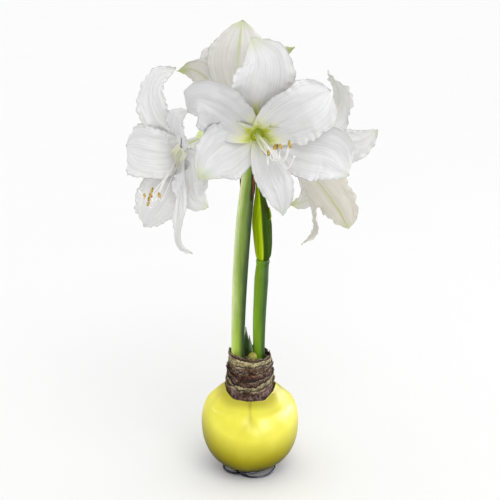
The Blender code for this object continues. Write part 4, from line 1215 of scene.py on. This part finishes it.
def tube_wall(flower, place, axis):
    """The part of a fused tube's wall that shows between its tepals."""
    reach, rear = TUBE_WALLS[flower]
    first = np.array(rear) - np.dot(rear, axis) * axis
    first /= np.linalg.norm(first)
    turns = np.linspace(-1.7, 1.7, TUBE_SIDES)
    ring = np.cos(turns)[:, None] * first + np.sin(turns)[:, None] * np.cross(axis, first)
    run = np.linspace(-2.5, reach, 18)
    wide = 4.9 + 0.36 * (run + 2.5) ** 0.9
    grid = place + run[:, None, None] * axis + wide[:, None, None] * ring
    points, faces, along, across_of, _ = slab(grid, 0.5)
    deep = 1.0 - smooth_step(along, 0.3, 1.0)
    return points, faces, petal_values(
        throat=0.05 + 0.2 * deep, across=across_of, along=0.2 * along, number=9.0,
        glow=FLOWERS[flower]["glow"] * deep,
    )


for flower, tepals in TEPALS.items():
    place, axis = FLOWER_PLACES[flower]
    place = np.array(place)
    axis = np.array(axis) / np.linalg.norm(axis)
    parts = [tepal_shell(flower, number, tepal) for number, tepal in enumerate(tepals)]
    parts.append(tube_shell(flower, place, axis))
    if flower in TUBE_WALLS:
        parts.append(tube_wall(flower, place, axis))
    points, faces, values = gathered(parts)
    low, high = (np.array(corner) / MILLIMETRE - plant_axis for corner in cad_box)
    points = np.clip(points, low, high)
    bloom = make_piece("white_flower_" + flower, points, faces, values, petal_material)
    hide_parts("bloom_" + flower)
    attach(bloom, "root")


# Stamens: six white filaments and a longer style in each flower, which lie in a bunch on
# the lower tepals and then curl up. Each filament carries a golden anther set crosswise,
# dusted with pollen, and the style ends in three small lobes.

# Each flower: the places of its anthers, the end of its style, and the point that the bends
# of its filaments are drawn towards
STAMENS = {
    "front": (
        [(15, -97, 340), (20, -100, 346), (25, -99, 346),
         (32, -96, 348), (21.9, -97, 345.4), (32.9, -94, 345.4)],
        (36, -101.7, 338), (14, -70, 329),
    ),
    "left": (
        [(-91, -62, 294), (-84, -64, 300), (-85, -66, 296),
         (-87, -63, 292), (-88, -60, 287), (-78, -62, 295)],
        (-94, -68, 300), (-72, -57, 312),
    ),
    "back": (
        [(-12, 66, 412), (-6, 70, 414), (1, 68, 415),
         (7, 66, 411), (-2, 62, 418), (3, 60, 412)],
        (-4, 76, 418), (-4, 50, 378),
    ),
    "right": (
        [(87, 46, 303), (91, 50, 301), (94, 46, 299),
         (86, 52, 299), (90, 42, 297), (83, 44, 297)],
        (97, 54, 303), (66, 34, 300),
    ),
}
FILAMENT_POINTS = 48
FILAMENT_SIDES = 10
# How far below their ends the filaments hang before they curl up
CURL_DEPTH = 9.5
ANTHER_HALF_LENGTH = 2.5
ANTHER_RADIUS = 1.3
ANTHER_POINTS = 15
ANTHER_SIDES = 16
LOBE_LENGTH = 1.5
LOBE_POINTS = 8
POLLEN_DENSITY = 9.0e6
POLLEN_RADIUS = 0.00013
POLLEN_SEED = 3

filament_material, tree, shader = surface("filament")
tone = coloured(tree, ranged(tree, own(tree, "along"), 0.0, 0.5), paint("dfe8a0"), paint("f6f4f0"))
finished(tree, shader, tone, 0.45)
anther_material, tree, shader = surface("anther")
grains = speckle(tree, on_object(tree), 2600.0, 2.0)
patches = speckle(tree, on_object(tree), 500.0, 2.0)
tone = coloured(tree, ranged(tree, grains, 0.35, 0.65), paint("ab8718"), paint("e8ce5e"))
tone = coloured(tree, ranged(tree, patches, 0.5, 0.64, 0.0, 0.8), tone, paint("5e4812"))
finished(tree, shader, tone, 0.85)
raised(tree, shader, grains, 0.8, 0.0002)


def dusted(name, item, finish, density, size, seed):
    """Small grains scattered over a piece by a node tree, joined to it as a plain mesh."""
    tree = bpy.data.node_groups.new(name + "_grains", "GeometryNodeTree")
    tree.interface.new_socket("Geometry", in_out="INPUT", socket_type="NodeSocketGeometry")
    amount = tree.interface.new_socket("Density", in_out="INPUT", socket_type="NodeSocketFloat")
    grain_size = tree.interface.new_socket("Grain Size", in_out="INPUT", socket_type="NodeSocketFloat")
    draw = tree.interface.new_socket("Seed", in_out="INPUT", socket_type="NodeSocketInt")
    tree.interface.new_socket("Geometry", in_out="OUTPUT", socket_type="NodeSocketGeometry")
    entry = tree.nodes.new("NodeGroupInput")
    leave = tree.nodes.new("NodeGroupOutput")
    spots = node(tree, "GeometryNodeDistributePointsOnFaces", {
        "Mesh": entry.outputs["Geometry"],
        "Density": entry.outputs["Density"],
        "Seed": entry.outputs["Seed"],
    })
    grain = node(tree, "GeometryNodeMeshIcoSphere", {
        "Radius": entry.outputs["Grain Size"], "Subdivisions": 1,
    })
    placed = node(tree, "GeometryNodeInstanceOnPoints", {
        "Points": spots.outputs["Points"], "Instance": grain.outputs["Mesh"],
    })
    whole = node(tree, "GeometryNodeRealizeInstances", {"Geometry": placed.outputs["Instances"]})
    both = tree.nodes.new("GeometryNodeJoinGeometry")
    tree.links.new(whole.outputs["Geometry"], both.inputs["Geometry"])
    tree.links.new(entry.outputs["Geometry"], both.inputs["Geometry"])
    dressed = node(tree, "GeometryNodeSetMaterial", {
        "Geometry": both.outputs["Geometry"], "Material": finish,
    })
    tree.links.new(dressed.outputs["Geometry"], leave.inputs["Geometry"])
    modifier = item.modifiers.new("grains", "NODES")
    modifier.node_group = tree
    modifier[amount.identifier] = density
    modifier[grain_size.identifier] = size
    modifier[draw.identifier] = seed
    return plain(item, name)


def furrow(turns, place):
    """The groove between an anther's two halves."""
    return 1.0 - 0.22 * np.abs(np.cos(turns)) ** 12


def anther_shell(end, index):
    """One anther: a small bowed bean with a groove, which leans its own way."""
    lean = Vector((0.35 * math.sin(2.1 * index), 0.3 * math.cos(1.7 * index), 1.0)).normalized()
    run = np.linspace(-1.0, 1.0, ANTHER_POINTS)
    bow = 0.5 * (1.0 - run ** 2)
    spine = end + ANTHER_HALF_LENGTH * run[:, None] * np.array(lean)
    spine += bow[:, None] * np.array((0.3, -0.9, 0.0))
    girth = ANTHER_RADIUS * np.sqrt(np.maximum(1.0 - np.abs(run) ** 3, 0.02))
    points, faces, _, _ = stalk_shell(spine, girth, ANTHER_SIDES, furrow)
    return points, faces, {}


for flower, (anthers, stigma, sweep) in STAMENS.items():
    place, axis = FLOWER_PLACES[flower]
    place = np.array(place)
    axis = np.array(axis) / np.linalg.norm(axis)
    turn = Vector(axis).to_track_quat("Z", "Y")
    ends = [np.array(point, dtype=float) for point in anthers] + [np.array(stigma, dtype=float)]
    share = np.linspace(0.0, 1.0, FILAMENT_POINTS)
    threads, widths = [], []
    for index, end in enumerate(ends):
        angle = 2.0 * math.pi * index / len(ends)
        offset = np.array(turn @ Vector((1.8 * math.cos(angle), 1.8 * math.sin(angle), 0.0)))
        start = place + 0.8 * axis + offset
        low = end + 0.25 * (np.array(sweep) - end) - np.array([0.0, 0.0, CURL_DEPTH])
        bend = 0.5 * (start + 8.0 * axis) + 0.5 * low + offset
        path = smooth_path([start, start + 8.0 * axis, bend, low, end], FILAMENT_POINTS)
        threads.append((path, False))
        widths.append(0.52 - 0.2 * share if index < len(anthers) else 0.5 - 0.12 * share)
    for lobe in range(3):
        swing = 2.0 * math.pi * lobe / 3.0
        lobe_way = np.array(turn @ Vector((math.cos(swing), math.sin(swing), 0.5)))
        threads.append((ends[-1] + np.linspace(0.0, LOBE_LENGTH, LOBE_POINTS)[:, None] * lobe_way, False))
        widths.append(np.linspace(0.42, 0.3, LOBE_POINTS))
    lines = swept_wires("filaments_" + flower, threads, widths, FILAMENT_SIDES, filament_material)
    along = lines.data.attributes.new("along", "FLOAT", "POINT")
    spots = np.array([vertex.co for vertex in lines.data.vertices])
    reach = np.linalg.norm(spots / MILLIMETRE - plant_axis - place, axis=1)
    along.data.foreach_set("value", np.clip(reach / 60.0, 0.0, 1.0))
    heads = [anther_shell(end, index) for index, end in enumerate(ends[:-1])]
    points, faces, _ = gathered(heads)
    anthers_piece = make_piece("anthers_plain_" + flower, points, faces, {}, anther_material)
    anthers_piece = dusted("anthers_" + flower, anthers_piece, anther_material,
                           POLLEN_DENSITY, POLLEN_RADIUS, POLLEN_SEED)
    for piece in (lines, anthers_piece):
        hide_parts("stamens_" + flower)
        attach(piece, "root")
